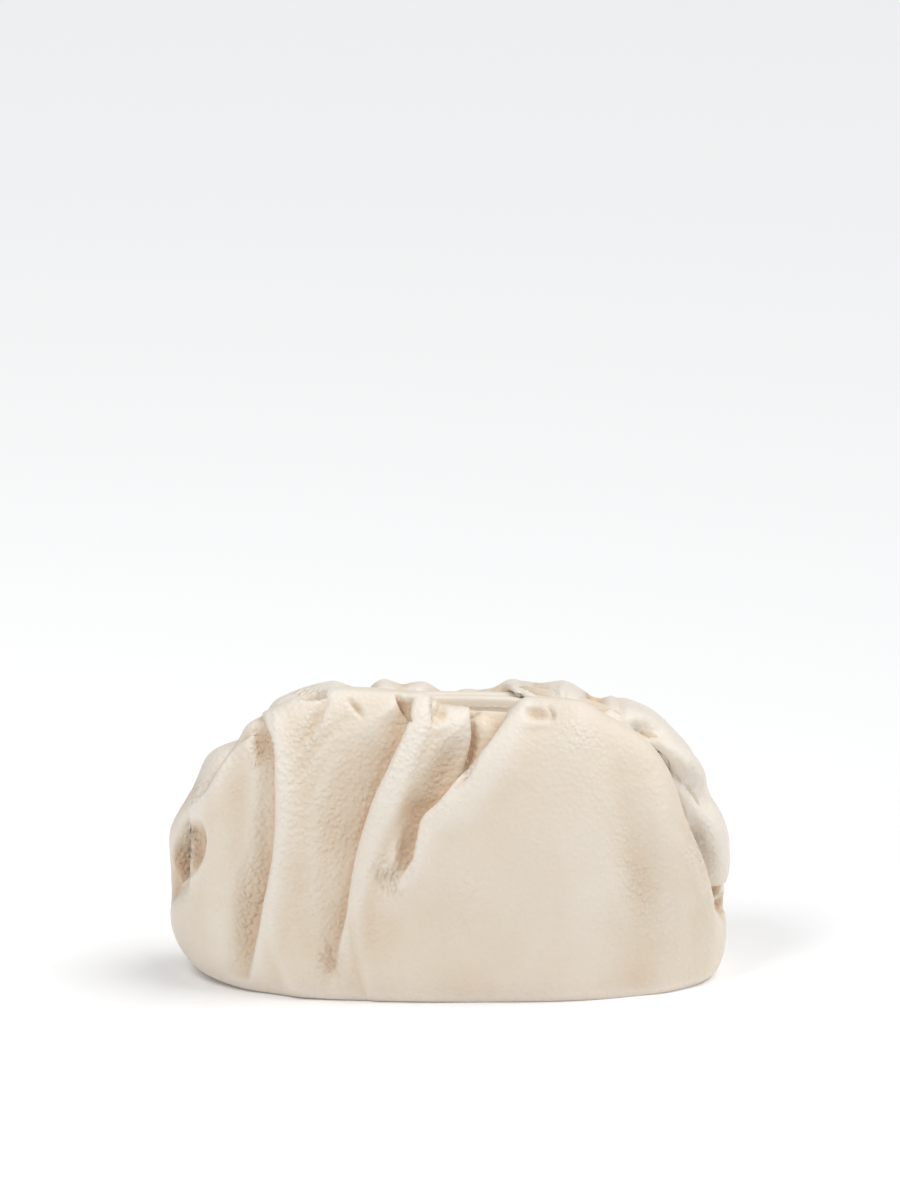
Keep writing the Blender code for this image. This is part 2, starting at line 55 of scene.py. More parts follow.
import bmesh
import bpy
import numpy as np
from mathutils import Vector, noise

MM = 0.001


def add_object(name, data):
    """A new object in the scene, at the origin."""
    made = bpy.data.objects.new(name, data)
    bpy.context.scene.collection.objects.link(made)
    return made


def length(vectors):
    """Lengths of vectors, kept as a last column."""
    return np.linalg.norm(vectors, axis=-1, keepdims=True)


def unit(vectors):
    """Vectors scaled to length one."""
    return vectors / np.maximum(length(vectors), 1e-12)


def ease(share):
    """A share from 0 to 1 that starts and stops gently."""
    share = np.clip(share, 0.0, 1.0)
    return share * share * (3.0 - 2.0 * share)


def through(knots, values, places):
    """A curve through values at rising knots that never swings past them."""
    knots = np.asarray(knots, float)
    values = np.asarray(values, float)
    steps = np.diff(knots)
    shape = (-1,) + (1,) * (values.ndim - 1)
    slopes = np.diff(values, axis=0) / steps.reshape(shape)
    before, after = slopes[:-1], slopes[1:]
    same_way = before * after > 0.0
    total = np.where(same_way, before + after, 1.0)
    inner = np.where(same_way, 2.0 * before * after / total, 0.0)
    tangents = np.concatenate([slopes[:1], inner, slopes[-1:]])
    found = np.clip(np.searchsorted(knots, places, side="right") - 1, 0, len(steps) - 1)
    width = steps[found].reshape(shape)
    share = ((places - knots[found]) / steps[found]).reshape(shape)
    low, high = values[found], values[found + 1]
    start, stop = tangents[found] * width, tangents[found + 1] * width
    return (
        low * (1.0 + 2.0 * share) * (1.0 - share) ** 2
        + start * share * (1.0 - share) ** 2
        + high * share**2 * (3.0 - 2.0 * share)
        - stop * share**2 * (1.0 - share)
    )


def round_the_loop(table, places, turning=()):
    """The rows of a table between its loop values, joined up at the left hinge.

    A column in turning also grows by 2 each time round, as the loop does."""
    rows = np.asarray(table, float)
    step = np.zeros(rows.shape[1])
    step[0] = 2.0
    for column in turning:
        step[column] = 2.0
    around = np.concatenate([rows - step, rows, rows + step])
    return through(around[:, 0], around[:, 1:], places)


def travelled(points):
    """The length of a line of points up to each of them."""
    steps = np.linalg.norm(np.diff(points, axis=0), axis=1)
    return np.concatenate([[0.0], np.cumsum(steps)])


def at_length(points, distances):
    """Places on a line of points, by the length travelled."""
    marks = travelled(points)
    columns = [np.interp(distances, marks, points[:, axis]) for axis in range(points.shape[1])]
    return np.stack(columns, axis=-1)


# %% [markdown]
# The mouth frame is an arch: two quarters of a rounded rectangle that meet at the top. Its
# left quarter is rounder than its right one, and its left foot stands higher. A curve object
# could draw it, but the sheet has to ask the line for a place and a direction at any
# distance, so it is kept as points with their lengths. Everything on the bag hangs on this
# line, so it comes first, with the sizes that the solids have.

# %% The line of the mouth frame
FRAME_HALF_WIDTH = 0.0965
FRAME_TOP = 0.1078
HINGE_HEIGHT_LEFT = 0.0350
HINGE_HEIGHT_RIGHT = 0.0265
FRAME_SQUARENESS_LEFT = 2.45
FRAME_SQUARENESS_RIGHT = 2.80
LIP_THICKNESS = 0.0050
LIP_HEIGHT = 0.0090
LIP_ROUNDING = 0.0022
LIP_GAP = 0.0006
LIP_END_CLEARANCE = 0.0110
SEAM_DROP = 0.0060
SEAT_CLEARANCE = 0.0003
FRAME_STEP = 0.0015


def rounded_quarter(squareness, count=400):
    """A quarter of a rounded rectangle of half sizes 1 by 1, from (1, 0) to (0, 1)."""
    angle = np.linspace(0.0, np.pi / 2.0, count)
    across, up = np.cos(angle), np.sin(angle)
    size = (across**squareness + up**squareness) ** (1.0 / squareness)
    return np.stack([across / size, up / size], axis=1)


def frame_line():
    """The frame's centre line in X and Z, and its length up to the middle of the top."""
    left = rounded_quarter(FRAME_SQUARENESS_LEFT)
    right = rounded_quarter(FRAME_SQUARENESS_RIGHT)[::-1]
    left = left * (-FRAME_HALF_WIDTH, FRAME_TOP - HINGE_HEIGHT_LEFT)
    right = right * (FRAME_HALF_WIDTH, FRAME_TOP - HINGE_HEIGHT_RIGHT)
    line = np.concatenate([left + (0.0, HINGE_HEIGHT_LEFT), right[1:] + (0.0, HINGE_HEIGHT_RIGHT)])
    return line, travelled(line)[len(left) - 1]


FRAME_LINE, FRAME_HALF_LENGTH = frame_line()
FRAME_LENGTH = travelled(FRAME_LINE)[-1]


def frame_distance(loop):
    """How far along the frame from the left hinge a loop value lies."""
    along = np.where(loop > 1.0, 2.0 - loop, loop)
    left = along / 0.5 * FRAME_HALF_LENGTH
    right = FRAME_HALF_LENGTH + (along - 0.5) / 0.5 * (FRAME_LENGTH - FRAME_HALF_LENGTH)
    return np.where(along < 0.5, left, right)


def frame_place(distance):
    """Points on the frame's centre line, with the direction away from the bag's inside."""
    before = at_length(FRAME_LINE, np.clip(distance - FRAME_STEP, 0.0, FRAME_LENGTH))
    after = at_length(FRAME_LINE, np.clip(distance + FRAME_STEP, 0.0, FRAME_LENGTH))
    here = at_length(FRAME_LINE, distance)
    tangent = unit(after - before)
    zero = np.zeros(len(distance))
    place = np.stack([here[:, 0], zero, here[:, 1]], axis=1)
    outward = np.stack([-tangent[:, 1], zero, tangent[:, 0]], axis=1)
    return place, outward


lip_low, lip_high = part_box("frame_front")
frame_ends, _ = frame_place(np.linspace(LIP_END_CLEARANCE, FRAME_LENGTH - LIP_END_CLEARANCE, 35))
SHIFT = np.array([
    (lip_low.x + lip_high.x) / 2.0 - (frame_ends[:, 0].min() + frame_ends[:, 0].max()) / 2.0,
    lip_high.y + LIP_GAP / 2.0,
    0.0,
])
print("frame", round(FRAME_LENGTH, 4), "m long; the solids stand off by", SHIFT)

# %% [markdown]
# The leather body is one sheet that runs round the mouth. A place on it has two
# coordinates. The loop goes from 0 at the left hinge over 0.5 at the middle of the front
# and 1 at the right hinge to 2, back at the left hinge. The run goes from 0 at the mouth
# seam over the brow of the puff and the belly to the floor, and ends on the flat base.
# The body could be draped as cloth, but then each fold would land where it likes. Here it is
# a sheet with two coordinates, so that every fold can be put where the photograph shows it.
# The plain sheet comes first, with the sizes of the solids.

# %% Sizes of the plain sheet
LEATHER = 0.0018
BELLY_HALF_WIDTH = 0.1085
BELLY_HALF_DEPTH = 0.0445
BELLY_SQUARENESS = 2.30
BELLY_HEIGHT = 0.0370
BASE_HALF_WIDTH = 0.0940
BASE_HALF_DEPTH = 0.0415
BASE_SQUARENESS = 2.55
BASE_SHIFT = 0.0070
BASE_PATCH = 0.35
PUFF_RISE = 0.0100
PUFF_DEPTH = 0.0160
PUFF_END_LENGTH = 0.0180
PUFF_LEAN = 0.0160
END_SPREAD = 1.5
MOUTH_SLIT = 0.0014
OUTLINE_STEP = 0.004
SEAM_RISING = 0.5
SEAM_RISING_LEAST = 0.0004
CREST_ARRIVING = 0.35
LIP_KEEP_OUT = 0.0020
MOUTH_END_LENGTH = 0.0080
SHOULDER_FULLNESS = 0.16
SHOULDER_LEAST = 0.0055
SHOULDER_MOST = 0.40
BELLY_FULLNESS = 0.36
FLOOR_FULLNESS = 0.56
SHOULDER = 0.08
BELLY = 0.52
FLOOR = 0.76

# %% [markdown]
# On the real bag the leather is gathered into the frame, so its grain lines fan out from the
# mouth and don't run straight down. Each row below is one such line. The columns belly and
# base say where it meets those outlines, and rise, puff, lean and height are shares of the
# named sizes. What lies between two rows is a curve that never swings past them.

# %% The lines of the gathers
LINE_COLUMNS = ("loop", "belly", "base", "rise", "puff", "lean", "height")
LINES = (
    (0.000, 0.000, 0.000, 0.75, 0.50, 0.00, 0.66),
    (0.030, 0.035, 0.033, 0.35, 0.50, 0.00, 0.70),
    (0.060, 0.058, 0.052, -0.15, 0.55, 0.00, 0.76),
    (0.100, 0.082, 0.070, -0.20, 0.65, 0.00, 0.84),
    (0.135, 0.108, 0.088, 1.05, 0.80, 0.30, 0.90),
    (0.165, 0.132, 0.106, 0.85, 0.80, 0.20, 0.95),
    (0.200, 0.170, 0.145, 1.05, 0.80, 0.30, 0.98),
    (0.250, 0.212, 0.190, 1.50, 0.80, 0.50, 1.00),
    (0.300, 0.250, 0.237, 1.40, 0.76, 0.55, 1.00),
    (0.350, 0.290, 0.285, 1.15, 0.70, 0.55, 1.00),
    (0.400, 0.322, 0.310, 1.05, 0.66, 0.55, 1.00),
    (0.450, 0.355, 0.335, 0.90, 0.60, 0.50, 1.00),
    (0.485, 0.378, 0.363, 0.35, 0.60, 0.10, 1.00),
    (0.520, 0.400, 0.390, 0.18, 0.55, 0.00, 1.00),
    (0.577, 0.440, 0.430, 0.10, 0.60, 0.00, 1.00),
    (0.600, 0.500, 0.490, 0.62, 0.52, 0.15, 1.00),
    (0.640, 0.610, 0.600, 0.72, 0.50, 0.20, 1.00),
    (0.700, 0.780, 0.780, 0.66, 0.50, 0.15, 0.95),
    (0.760, 0.850, 0.850, 0.62, 0.50, 0.10, 0.85),
    (0.800, 0.880, 0.880, 0.42, 0.52, 0.00, 0.79),
    (0.850, 0.915, 0.912, 0.00, 0.52, 0.00, 0.70),
    (0.930, 0.948, 0.946, -0.15, 0.50, 0.00, 0.55),
    (0.965, 0.966, 0.966, 0.05, 0.45, 0.00, 0.48),
    (1.000, 1.000, 1.000, 0.80, 0.45, 0.00, 0.45),
    (1.035, 1.037, 1.036, 1.10, 0.50, 0.10, 0.56),
    (1.080, 1.068, 1.064, 1.24, 0.65, 0.25, 0.70),
    (1.150, 1.100, 1.100, 0.95, 0.70, 0.80, 0.85),
    (1.230, 1.180, 1.180, 1.05, 0.80, 0.90, 1.00),
    (1.300, 1.260, 1.260, 0.60, 0.80, 0.30, 1.00),
    (1.400, 1.370, 1.370, 0.42, 0.80, 0.00, 1.00),
    (1.485, 1.475, 1.475, 0.10, 0.70, 0.00, 1.00),
    (1.550, 1.550, 1.550, 0.36, 0.80, 0.00, 1.00),
    (1.660, 1.680, 1.680, 0.74, 0.80, 0.20, 1.00),
    (1.730, 1.750, 1.750, 0.82, 0.80, 0.50, 1.00),
    (1.780, 1.800, 1.800, 0.50, 0.80, 0.70, 1.00),
    (1.840, 1.858, 1.858, 0.72, 0.80, 0.80, 0.95),
    (1.900, 1.912, 1.914, 0.98, 0.65, 0.60, 0.88),
    (1.950, 1.950, 1.952, 1.25, 0.50, 0.30, 0.78),
    (1.975, 1.972, 1.973, 1.15, 0.50, 0.10, 0.70),
)
print(len(LINES), "gather lines, by", LINE_COLUMNS)


def mouth_half_width(distance):
    """Half the width of the body's mouth, which rounds off to nothing at the hinges."""
    from_hinge = np.minimum(distance, FRAME_LENGTH - distance)
    closing = np.clip(1.0 - from_hinge / MOUTH_END_LENGTH, 0.0, 1.0)
    half = LIP_GAP / 2.0 + LIP_THICKNESS + SEAT_CLEARANCE
    return half * np.sqrt(1.0 - closing**2)


def outline_place(half_width, half_depth, squareness, share):
    """Points on an outline on the floor, with their outward directions."""
    quarter = rounded_quarter(squareness)
    left = quarter * (-half_width, -half_depth)
    right = quarter[::-1] * (half_width, -half_depth)
    half = np.concatenate([left, right[1:]])
    total = travelled(half)[-1]
    share = np.mod(share, 2.0)
    along = np.where(share > 1.0, 2.0 - share, share)
    side = np.where(share > 1.0, -1.0, 1.0)
    here = at_length(half, along * total)
    before = at_length(half, np.clip(along * total - OUTLINE_STEP, 0.0, total))
    after = at_length(half, np.clip(along * total + OUTLINE_STEP, 0.0, total))
    tangent = unit(after - before)
    zero = np.zeros(len(along))
    place = np.stack([here[:, 0], here[:, 1] * side, zero], axis=1)
    outward = np.stack([tangent[:, 1], -tangent[:, 0] * side, zero], axis=1)
    return place, outward


def bezier(start, leave, arrive, stop, share):
    """A curve that leaves start towards one point and arrives at stop from another."""
    back = 1.0 - share
    return (
        start * back**3
        + leave * 3.0 * share * back**2
        + arrive * 3.0 * share**2 * back
        + stop * share**3
    )


def plain_sheet(loops, runs):
    """The body without its folds, as a grid of points, with the outline's directions.

    Three curves lead down the bag: seam to crest, crest to belly and belly to floor."""
    belly, base, rise, puff, lean, height = round_the_loop(LINES, loops, (1, 2)).T
    distance = frame_distance(loops)
    from_hinge = np.minimum(distance, FRAME_LENGTH - distance)
    frame_at, outward = frame_place(distance)
    side = np.where(loops > 1.0, 1.0, -1.0)
    mouth = mouth_half_width(distance)
    puffed = ease(from_hinge / PUFF_END_LENGTH)
    seam_level = LIP_HEIGHT / 2.0 - SEAM_DROP
    seam = frame_at + outward * seam_level
    seam[:, 1] = side * mouth
    shoulder = frame_at + outward * (PUFF_RISE * rise)[:, None]
    shoulder[:, 1] = side * (mouth + PUFF_DEPTH * puff * puffed)
    lift = np.maximum(PUFF_RISE * rise - seam_level, 0.0) * SEAM_RISING + SEAM_RISING_LEAST
    rising = outward * lift[:, None]
    turning = np.zeros_like(frame_at)
    turning[:, 1] = side * puffed
    turning[:, 2] = puffed - 1.0
    turning = unit(turning)
    spreading = (1.0 - puffed)[:, None] * END_SPREAD
    leaning = np.zeros_like(frame_at)
    leaning[:, 1] = -side * PUFF_LEAN * lean * puffed
    outer, sideways = outline_place(BELLY_HALF_WIDTH, BELLY_HALF_DEPTH, BELLY_SQUARENESS, belly)
    outer[:, 2] = BELLY_HEIGHT * height
    floor_at, floor_out = outline_place(BASE_HALF_WIDTH, BASE_HALF_DEPTH, BASE_SQUARENESS, base)
    floor_at[:, 0] += BASE_SHIFT
    patch = floor_at * BASE_PATCH
    turning = unit(turning + spreading * unit(outer - shoulder))
    up = np.array([0.0, 0.0, 1.0])
    reach = length(outer - shoulder)
    over = np.maximum(reach * SHOULDER_FULLNESS, SHOULDER_LEAST)
    over = np.minimum(over, reach * SHOULDER_MOST)
    drop = length(shoulder - seam)
    inset = length((floor_at - outer) * (1.0, 1.0, 0.0))
    arriving = shoulder - turning * drop * CREST_ARRIVING + leaning
    grid = []
    for run in runs:
        if run <= SHOULDER:
            points = bezier(seam, seam + rising, arriving, shoulder, run / SHOULDER)
        elif run <= BELLY:
            share = (run - SHOULDER) / (BELLY - SHOULDER)
            above = outer + up * reach * BELLY_FULLNESS
            points = bezier(shoulder, shoulder + turning * over, above, outer, share)
        elif run <= FLOOR:
            share = (run - BELLY) / (FLOOR - BELLY)
            below = outer - up * outer[:, 2:] * FLOOR_FULLNESS
            beside = floor_at + floor_out * inset * FLOOR_FULLNESS
            points = bezier(outer, below, beside, floor_at, share)
        else:
            share = (run - FLOOR) / (1.0 - FLOOR)
            points = floor_at + (patch - floor_at) * share
        grid.append(points)
    return np.stack(grid, axis=1), sideways


# %% [markdown]
# The gathers make broad swells with hollows between them. Each row is one of them, with how
# far it stands out at seven heights, as a share of one named depth. Noise could make swells
# too, but not in the places where the photograph shows them. The sharp tucks of the front
# are pressed in later, each along its own line. The back isn't in the photograph, so its
# pleats are plain: they lean, fade and wander a little as they go down.

# %% Broad swells and hollows
FOLD_RELIEF = 0.012
BACK_START = 1.18
BACK_STOP = 1.76
BACK_BLEND = 0.10
BACK_DRIFT = 0.035
BACK_FADING = 0.72
DRIFT_WAVES = 7.0
WANDER_LEAST = 0.75
WANDER_WAVES = 19.0
WANDER_SLANT = 5.0
HELD_NEAR_SEAM = 0.75
LOOK_ASIDE = 0.0008
NOT_OVER = 0.01
FOLD_COLUMNS = ("loop", "brow", "high", "upper", "middle", "belly", "low", "foot")
FOLD_RUNS = (SHOULDER, 0.18, 0.28, 0.38, BELLY, 0.64, FLOOR)
FOLDS = (
    (0.000, 0.00, 0.00, 0.00, 0.00, 0.00, 0.00, 0.00),
    (0.080, -0.05, -0.15, -0.15, -0.05, 0.05, 0.05, 0.00),
    (0.140, 0.10, 0.20, 0.25, 0.25, 0.20, 0.15, 0.03),
    (0.175, 0.10, 0.25, 0.30, 0.35, 0.30, 0.20, 0.05),
    (0.225, 0.00, 0.00, 0.00, 0.05, 0.05, 0.05, 0.00),
    (0.256, 0.00, 0.02, 0.05, 0.08, 0.08, 0.06, 0.02),
    (0.283, 0.10, 0.20, 0.26, 0.28, 0.28, 0.22, 0.08),
    (0.312, 0.20, 0.15, 0.20, 0.22, 0.22, 0.15, 0.05),
    (0.345, 0.30, 0.22, 0.16, 0.12, 0.08, 0.04, 0.02),
    (0.392, 0.15, 0.05, 0.00, 0.00, 0.00, 0.00, 0.00),
    (0.446, 0.00, 0.02, 0.05, 0.05, 0.05, 0.03, 0.00),
    (0.468, 0.15, 0.24, 0.28, 0.26, 0.22, 0.18, 0.05),
    (0.500, 0.10, 0.20, 0.20, 0.12, 0.14, 0.14, 0.04),
    (0.545, 0.00, 0.00, 0.00, 0.00, 0.08, 0.12, 0.03),
    (0.577, 0.05, 0.10, 0.16, 0.16, 0.14, 0.13, 0.03),
    (0.602, 0.15, 0.22, 0.30, 0.30, 0.22, 0.15, 0.05),
    (0.630, 0.15, 0.18, 0.30, 0.32, 0.30, 0.22, 0.05),
    (0.665, 0.25, 0.30, 0.36, 0.38, 0.36, 0.28, 0.08),
    (0.705, 0.10, 0.15, 0.18, 0.15, 0.12, 0.08, 0.02),
    (0.745, 0.05, 0.12, 0.20, 0.25, 0.25, 0.20, 0.05),
    (0.810, 0.00, 0.05, 0.08, 0.10, 0.10, 0.10, 0.03),
    (0.860, 0.05, 0.10, 0.15, 0.18, 0.16, 0.12, 0.03),
    (0.930, -0.05, -0.05, -0.05, 0.02, 0.06, 0.06, 0.02),
    (1.000, 0.00, 0.00, 0.00, 0.00, 0.00, 0.02, 0.00),
    (1.040, 0.06, 0.06, 0.06, 0.06, 0.05, 0.03, 0.00),
    (1.080, 0.00, -0.10, -0.15, -0.10, -0.02, 0.00, 0.00),
    (1.112, 0.04, 0.15, 0.20, 0.20, 0.15, 0.10, 0.02),
    (1.145, 0.00, -0.10, -0.12, -0.05, 0.00, 0.00, 0.00),
    (1.180, 0.08, 0.20, 0.25, 0.20, 0.20, 0.15, 0.03),
    (1.217, 0.05, -0.15, -0.25, -0.25, -0.15, -0.05, 0.00),
    (1.275, 0.25, 0.28, 0.28, 0.25, 0.20, 0.15, 0.05),
    (1.310, -0.05, -0.20, -0.25, -0.20, -0.10, 0.00, 0.00),
    (1.350, 0.22, 0.28, 0.30, 0.30, 0.25, 0.20, 0.05),
    (1.385, 0.08, -0.10, -0.20, -0.15, -0.10, 0.00, 0.00),
    (1.418, 0.20, 0.22, 0.25, 0.25, 0.20, 0.15, 0.03),
    (1.446, 0.00, -0.20, -0.26, -0.20, -0.10, 0.00, 0.00),
    (1.478, 0.05, 0.15, 0.20, 0.20, 0.15, 0.10, 0.03),
    (1.503, -0.15, -0.25, -0.25, -0.20, -0.15, -0.10, -0.02),
    (1.535, 0.18, 0.28, 0.30, 0.30, 0.25, 0.20, 0.05),
    (1.563, -0.05, -0.20, -0.26, -0.28, -0.25, -0.20, -0.05),
    (1.588, 0.15, 0.22, 0.25, 0.25, 0.25, 0.20, 0.05),
    (1.615, -0.30, -0.30, -0.28, -0.25, -0.20, -0.10, 0.00),
    (1.660, 0.15, 0.22, 0.28, 0.28, 0.28, 0.20, 0.05),
    (1.725, 0.15, 0.05, 0.00, 0.00, 0.05, 0.05, 0.00),
    (1.780, -0.15, -0.25, -0.30, -0.30, -0.25, -0.15, -0.03),
    (1.838, 0.25, 0.28, 0.28, 0.25, 0.20, 0.15, 0.05),
    (1.888, 0.00, -0.08, -0.10, -0.08, 0.00, 0.00, 0.00),
    (1.940, 0.08, 0.10, 0.10, 0.08, 0.05, 0.03, 0.00),
)
print(len(FOLDS), "swells and hollows, by", FOLD_COLUMNS)


def relief(loops, runs):
    """How far the broad forms stand out at each place of a grid."""
    rows = np.asarray(FOLDS, float)
    knots = (0.0,) + FOLD_RUNS + (1.0,)
    still = np.zeros((1, len(rows)))
    down_the_bag = through(knots, np.concatenate([still, rows[:, 1:].T, still]), runs)
    table = np.concatenate([rows[:, :1], down_the_bag.T], axis=1)
    held_at_seam = ease(runs / (HELD_NEAR_SEAM * SHOULDER))
    standing = round_the_loop(table, loops)
    entering = ease((loops - BACK_START) / BACK_BLEND)
    leaving = ease((loops - BACK_STOP) / BACK_BLEND)
    at_back = entering * (1.0 - leaving)
    for column, run in enumerate(runs):
        depth_down = ease((run - SHOULDER) / (BELLY - SHOULDER))
        drift = BACK_DRIFT * depth_down * np.sin(DRIFT_WAVES * loops) * at_back
        moved = round_the_loop(table[:, [0, column + 1]], loops + drift)[:, 0]
        swing = np.sin(WANDER_WAVES * loops + WANDER_SLANT * run)
        wander = WANDER_LEAST + (1.0 - WANDER_LEAST) * swing
        fading = 1.0 - BACK_FADING * depth_down
        softened = moved * fading * wander
        standing[:, column] = standing[:, column] * (1.0 - at_back) + softened * at_back
    return standing * held_at_seam * FOLD_RELIEF


def folded_sheet(loops, runs):
    """The body's outside with its broad forms."""
    plain, sideways = plain_sheet(loops, runs)
    ahead, _ = plain_sheet(np.mod(loops + LOOK_ASIDE, 2.0), runs)
    behind, _ = plain_sheet(np.mod(loops - LOOK_ASIDE, 2.0), runs)
    lower, _ = plain_sheet(loops, np.minimum(runs + LOOK_ASIDE, 1.0))
    upper, _ = plain_sheet(loops, np.maximum(runs - LOOK_ASIDE, 0.0))
    facing = unit(np.cross(lower - upper, ahead - behind))
    below = (runs >= BELLY)[None, :, None]
    direction = np.where(below, sideways[:, None, :], facing)
    return plain + direction * relief(loops, runs)[:, :, None]


def clear_of_lips(sheet, loops, runs):
    """Hold the mouth side of each puff clear of the lips, and of the puff it faces."""
    distance = frame_distance(loops)
    frame_at, outward = frame_place(distance)
    level = np.sum((sheet - frame_at[:, None]) * outward[:, None], axis=2)
    corner = LIP_HEIGHT / 2.0 - LIP_ROUNDING
    past = np.clip((level - corner) / (LIP_ROUNDING + LIP_KEEP_OUT), 0.0, 1.0)
    slit = np.minimum(mouth_half_width(distance), MOUTH_SLIT / 2.0)[:, None]
    least = slit + (mouth_half_width(distance)[:, None] - slit) * np.sqrt(1.0 - past**2)
    side = np.where(loops > 1.0, 1.0, -1.0)[:, None]
    kept = side * np.maximum(side * sheet[:, :, 1], least)
    mouth_side = (runs < SHOULDER)[None, :] & (over_share(loops) < NOT_OVER)[:, None]
    sheet[:, :, 1] = np.where(mouth_side, kept, sheet[:, :, 1])
    return sheet


# %% [markdown]
# On the right the back's puffs fold over both lips and come down in front of them, so the
# frame is hidden there. The rows of the sheet between the seam and the puff's crest get a
# path of their own: up behind the lips, over them, down to a rounded edge and up again. The
# first table says how far each place of the loop folds forward and hangs down. The second
# is the path, in millimetres, between the seam at 0 and the crest at 1.

# %% The back folds over the frame
OVER_COLUMNS = ("loop", "forward", "down")
OVER = (
    (0.000, 0.00, 0.00),
    (1.005, 0.00, 0.00),
    (1.045, 0.55, 0.30),
    (1.085, 1.00, 1.00),
    (1.165, 1.00, 1.00),
    (1.210, 0.90, 0.35),
    (1.250, 0.85, 0.10),
    (1.370, 0.70, 0.05),
    (1.400, 0.45, 0.00),
    (1.435, 0.00, 0.00),
    (1.510, 0.00, 0.00),
    (1.545, 0.18, 0.00),
    (1.640, 0.18, 0.00),
    (1.700, 0.00, 0.00),
)
print(len(OVER), "rows of the fold over the frame, by", OVER_COLUMNS)
PATH_COLUMNS = ("along", "level", "falling", "depth", "forward")
PATH = (
    (0.12, 4.8, 0.0, 6.4, 0.0),
    (0.25, 5.6, 0.0, 4.0, 0.0),
    (0.38, 5.6, 0.0, 2.0, 6.0),
    (0.50, 5.6, 6.2, 1.0, 9.3),
    (0.62, 5.6, 5.2, 1.4, 12.9),
    (0.74, 1.0, 2.2, 2.4, 12.0),
    (0.87, 0.5, -1.4, 6.0, 5.5),
)
print(len(PATH), "places of its path, by", PATH_COLUMNS)
OVER_LEVEL = 5.6 * MM
CREST_SHARE = 0.45
OVER_FULL = 0.3
OVER_BROW = 0.7
BROW_STARTS = (0.40, 0.25)
BROW_STOPS = (0.85, 0.15)


def over_share(loops):
    """How far the back folds over the frame, from 0 to 1, at each loop value."""
    return round_the_loop(OVER, loops)[:, 0]


def facing_out(grid):
    """Outward directions of a grid that closes on itself round the loop."""
    round_it = np.roll(grid, -1, axis=0) - np.roll(grid, 1, axis=0)
    down_it = np.gradient(grid, axis=1)
    return unit(np.cross(down_it, round_it))


def fold_over(grid, loops, runs):
    """Lead the mouth side of the back's puffs over the lips and down in front of them.

    Levels are heights over the frame's line, and depths are places in Y. The last two rows
    of the path count their levels from the crest, the others from the frame's line."""
    share, down = round_the_loop(OVER, loops).T
    distance = frame_distance(loops)
    frame_at, outward = frame_place(distance)
    crest = grid[:, np.flatnonzero(runs >= SHOULDER)[0]]
    crest_level = np.sum((crest - frame_at) * outward, axis=1)
    below_crest = OVER_LEVEL * (1.0 - CREST_SHARE) + crest_level * CREST_SHARE
    bases = [0.0] * (len(PATH) - 2) + [below_crest, np.maximum(crest_level, OVER_LEVEL)]
    levels = [np.full(len(loops), LIP_HEIGHT / 2.0 - SEAM_DROP)]
    depths = [mouth_half_width(distance)]
    for base, (_, level, falling, depth, forward) in zip(bases, PATH):
        levels.append(base + (level - falling * down) * MM)
        depths.append((depth - forward * share) * MM)
    levels = np.stack(levels + [crest_level])
    depths = np.stack(depths + [crest[:, 1]])
    knots = [0.0] + [row[0] for row in PATH] + [1.0]
    moved = grid.copy()
    amount = ease(share / OVER_FULL)[:, None]
    for row in np.flatnonzero(runs < SHOULDER):
        place = np.array([runs[row] / SHOULDER])
        level = through(knots, levels, place)[0]
        path = frame_at + outward * level[:, None]
        path[:, 1] = through(knots, depths, place)[0]
        moved[:, row] = grid[:, row] * (1.0 - amount) + path * amount
    along = runs / SHOULDER
    starting = ease((along - BROW_STARTS[0]) / BROW_STARTS[1])
    stopping = ease((along - BROW_STOPS[0]) / BROW_STOPS[1])
    window = starting * (1.0 - stopping)
    brow = relief(loops, np.array([SHOULDER]))
    return moved + facing_out(moved) * (OVER_BROW * brow * window * amount)[:, :, None]


# %% [markdown]
# A fold can only be as sharp as the grid is fine. The front of the sheet is divided more
# finely than its back, because the photograph shows the front, and its tucks have tight
# edges. The rows lie closer together near the mouth, where the gathers start.

# %% Lay out the sheet
FRONT_COLUMNS = 400
BACK_COLUMNS = 240
ROWS_TO_SHOULDER = 24
ROWS_TO_BELLY = 62
ROWS_TO_FLOOR = 30
ROWS_ON_BASE = 6
CLOSER_AT_TOP = 1.15

LOOPS = np.concatenate([
    np.arange(FRONT_COLUMNS) / FRONT_COLUMNS,
    1.0 + np.arange(BACK_COLUMNS) / BACK_COLUMNS,
])
to_belly = np.linspace(0.0, 1.0, ROWS_TO_BELLY, endpoint=False)
RUNS = np.concatenate([
    np.linspace(0.0, SHOULDER, ROWS_TO_SHOULDER, endpoint=False),
    SHOULDER + (BELLY - SHOULDER) * to_belly**CLOSER_AT_TOP,
    np.linspace(BELLY, FLOOR, ROWS_TO_FLOOR, endpoint=False),
    np.linspace(FLOOR, 1.0, ROWS_ON_BASE + 1),
])
broad = clear_of_lips(folded_sheet(LOOPS, RUNS), LOOPS, RUNS)
broad = fold_over(broad, LOOPS, RUNS) + SHIFT
sheet = broad
print("sheet of", sheet.shape[0], "columns and", sheet.shape[1], "rows")

# %% [markdown]
# The tucks of the front are drawn as lines in the photograph's own frame, 900 pixels wide
# and 1200 high. One pixel is 0.39 mm on the bag, and the camera looks down by 16 degrees.
# A place on the sheet is seen at one pixel, so its distance from a drawn line is known.

# %% From the sheet to the photograph
PIXEL = 0.00039
CAMERA_ELEVATION = math.radians(16.0)
PHOTO_WIDTH = 900
PHOTO_HEIGHT = 1200
PHOTO_MIDDLE_COLUMN = 449.0
PHOTO_FLOOR_ROW = 971.2
LINE_SAMPLES = 60
TURNED_AWAY = -0.35
TURNING_AWAY = 0.45
BACK_ROWS_FROM = 0.35

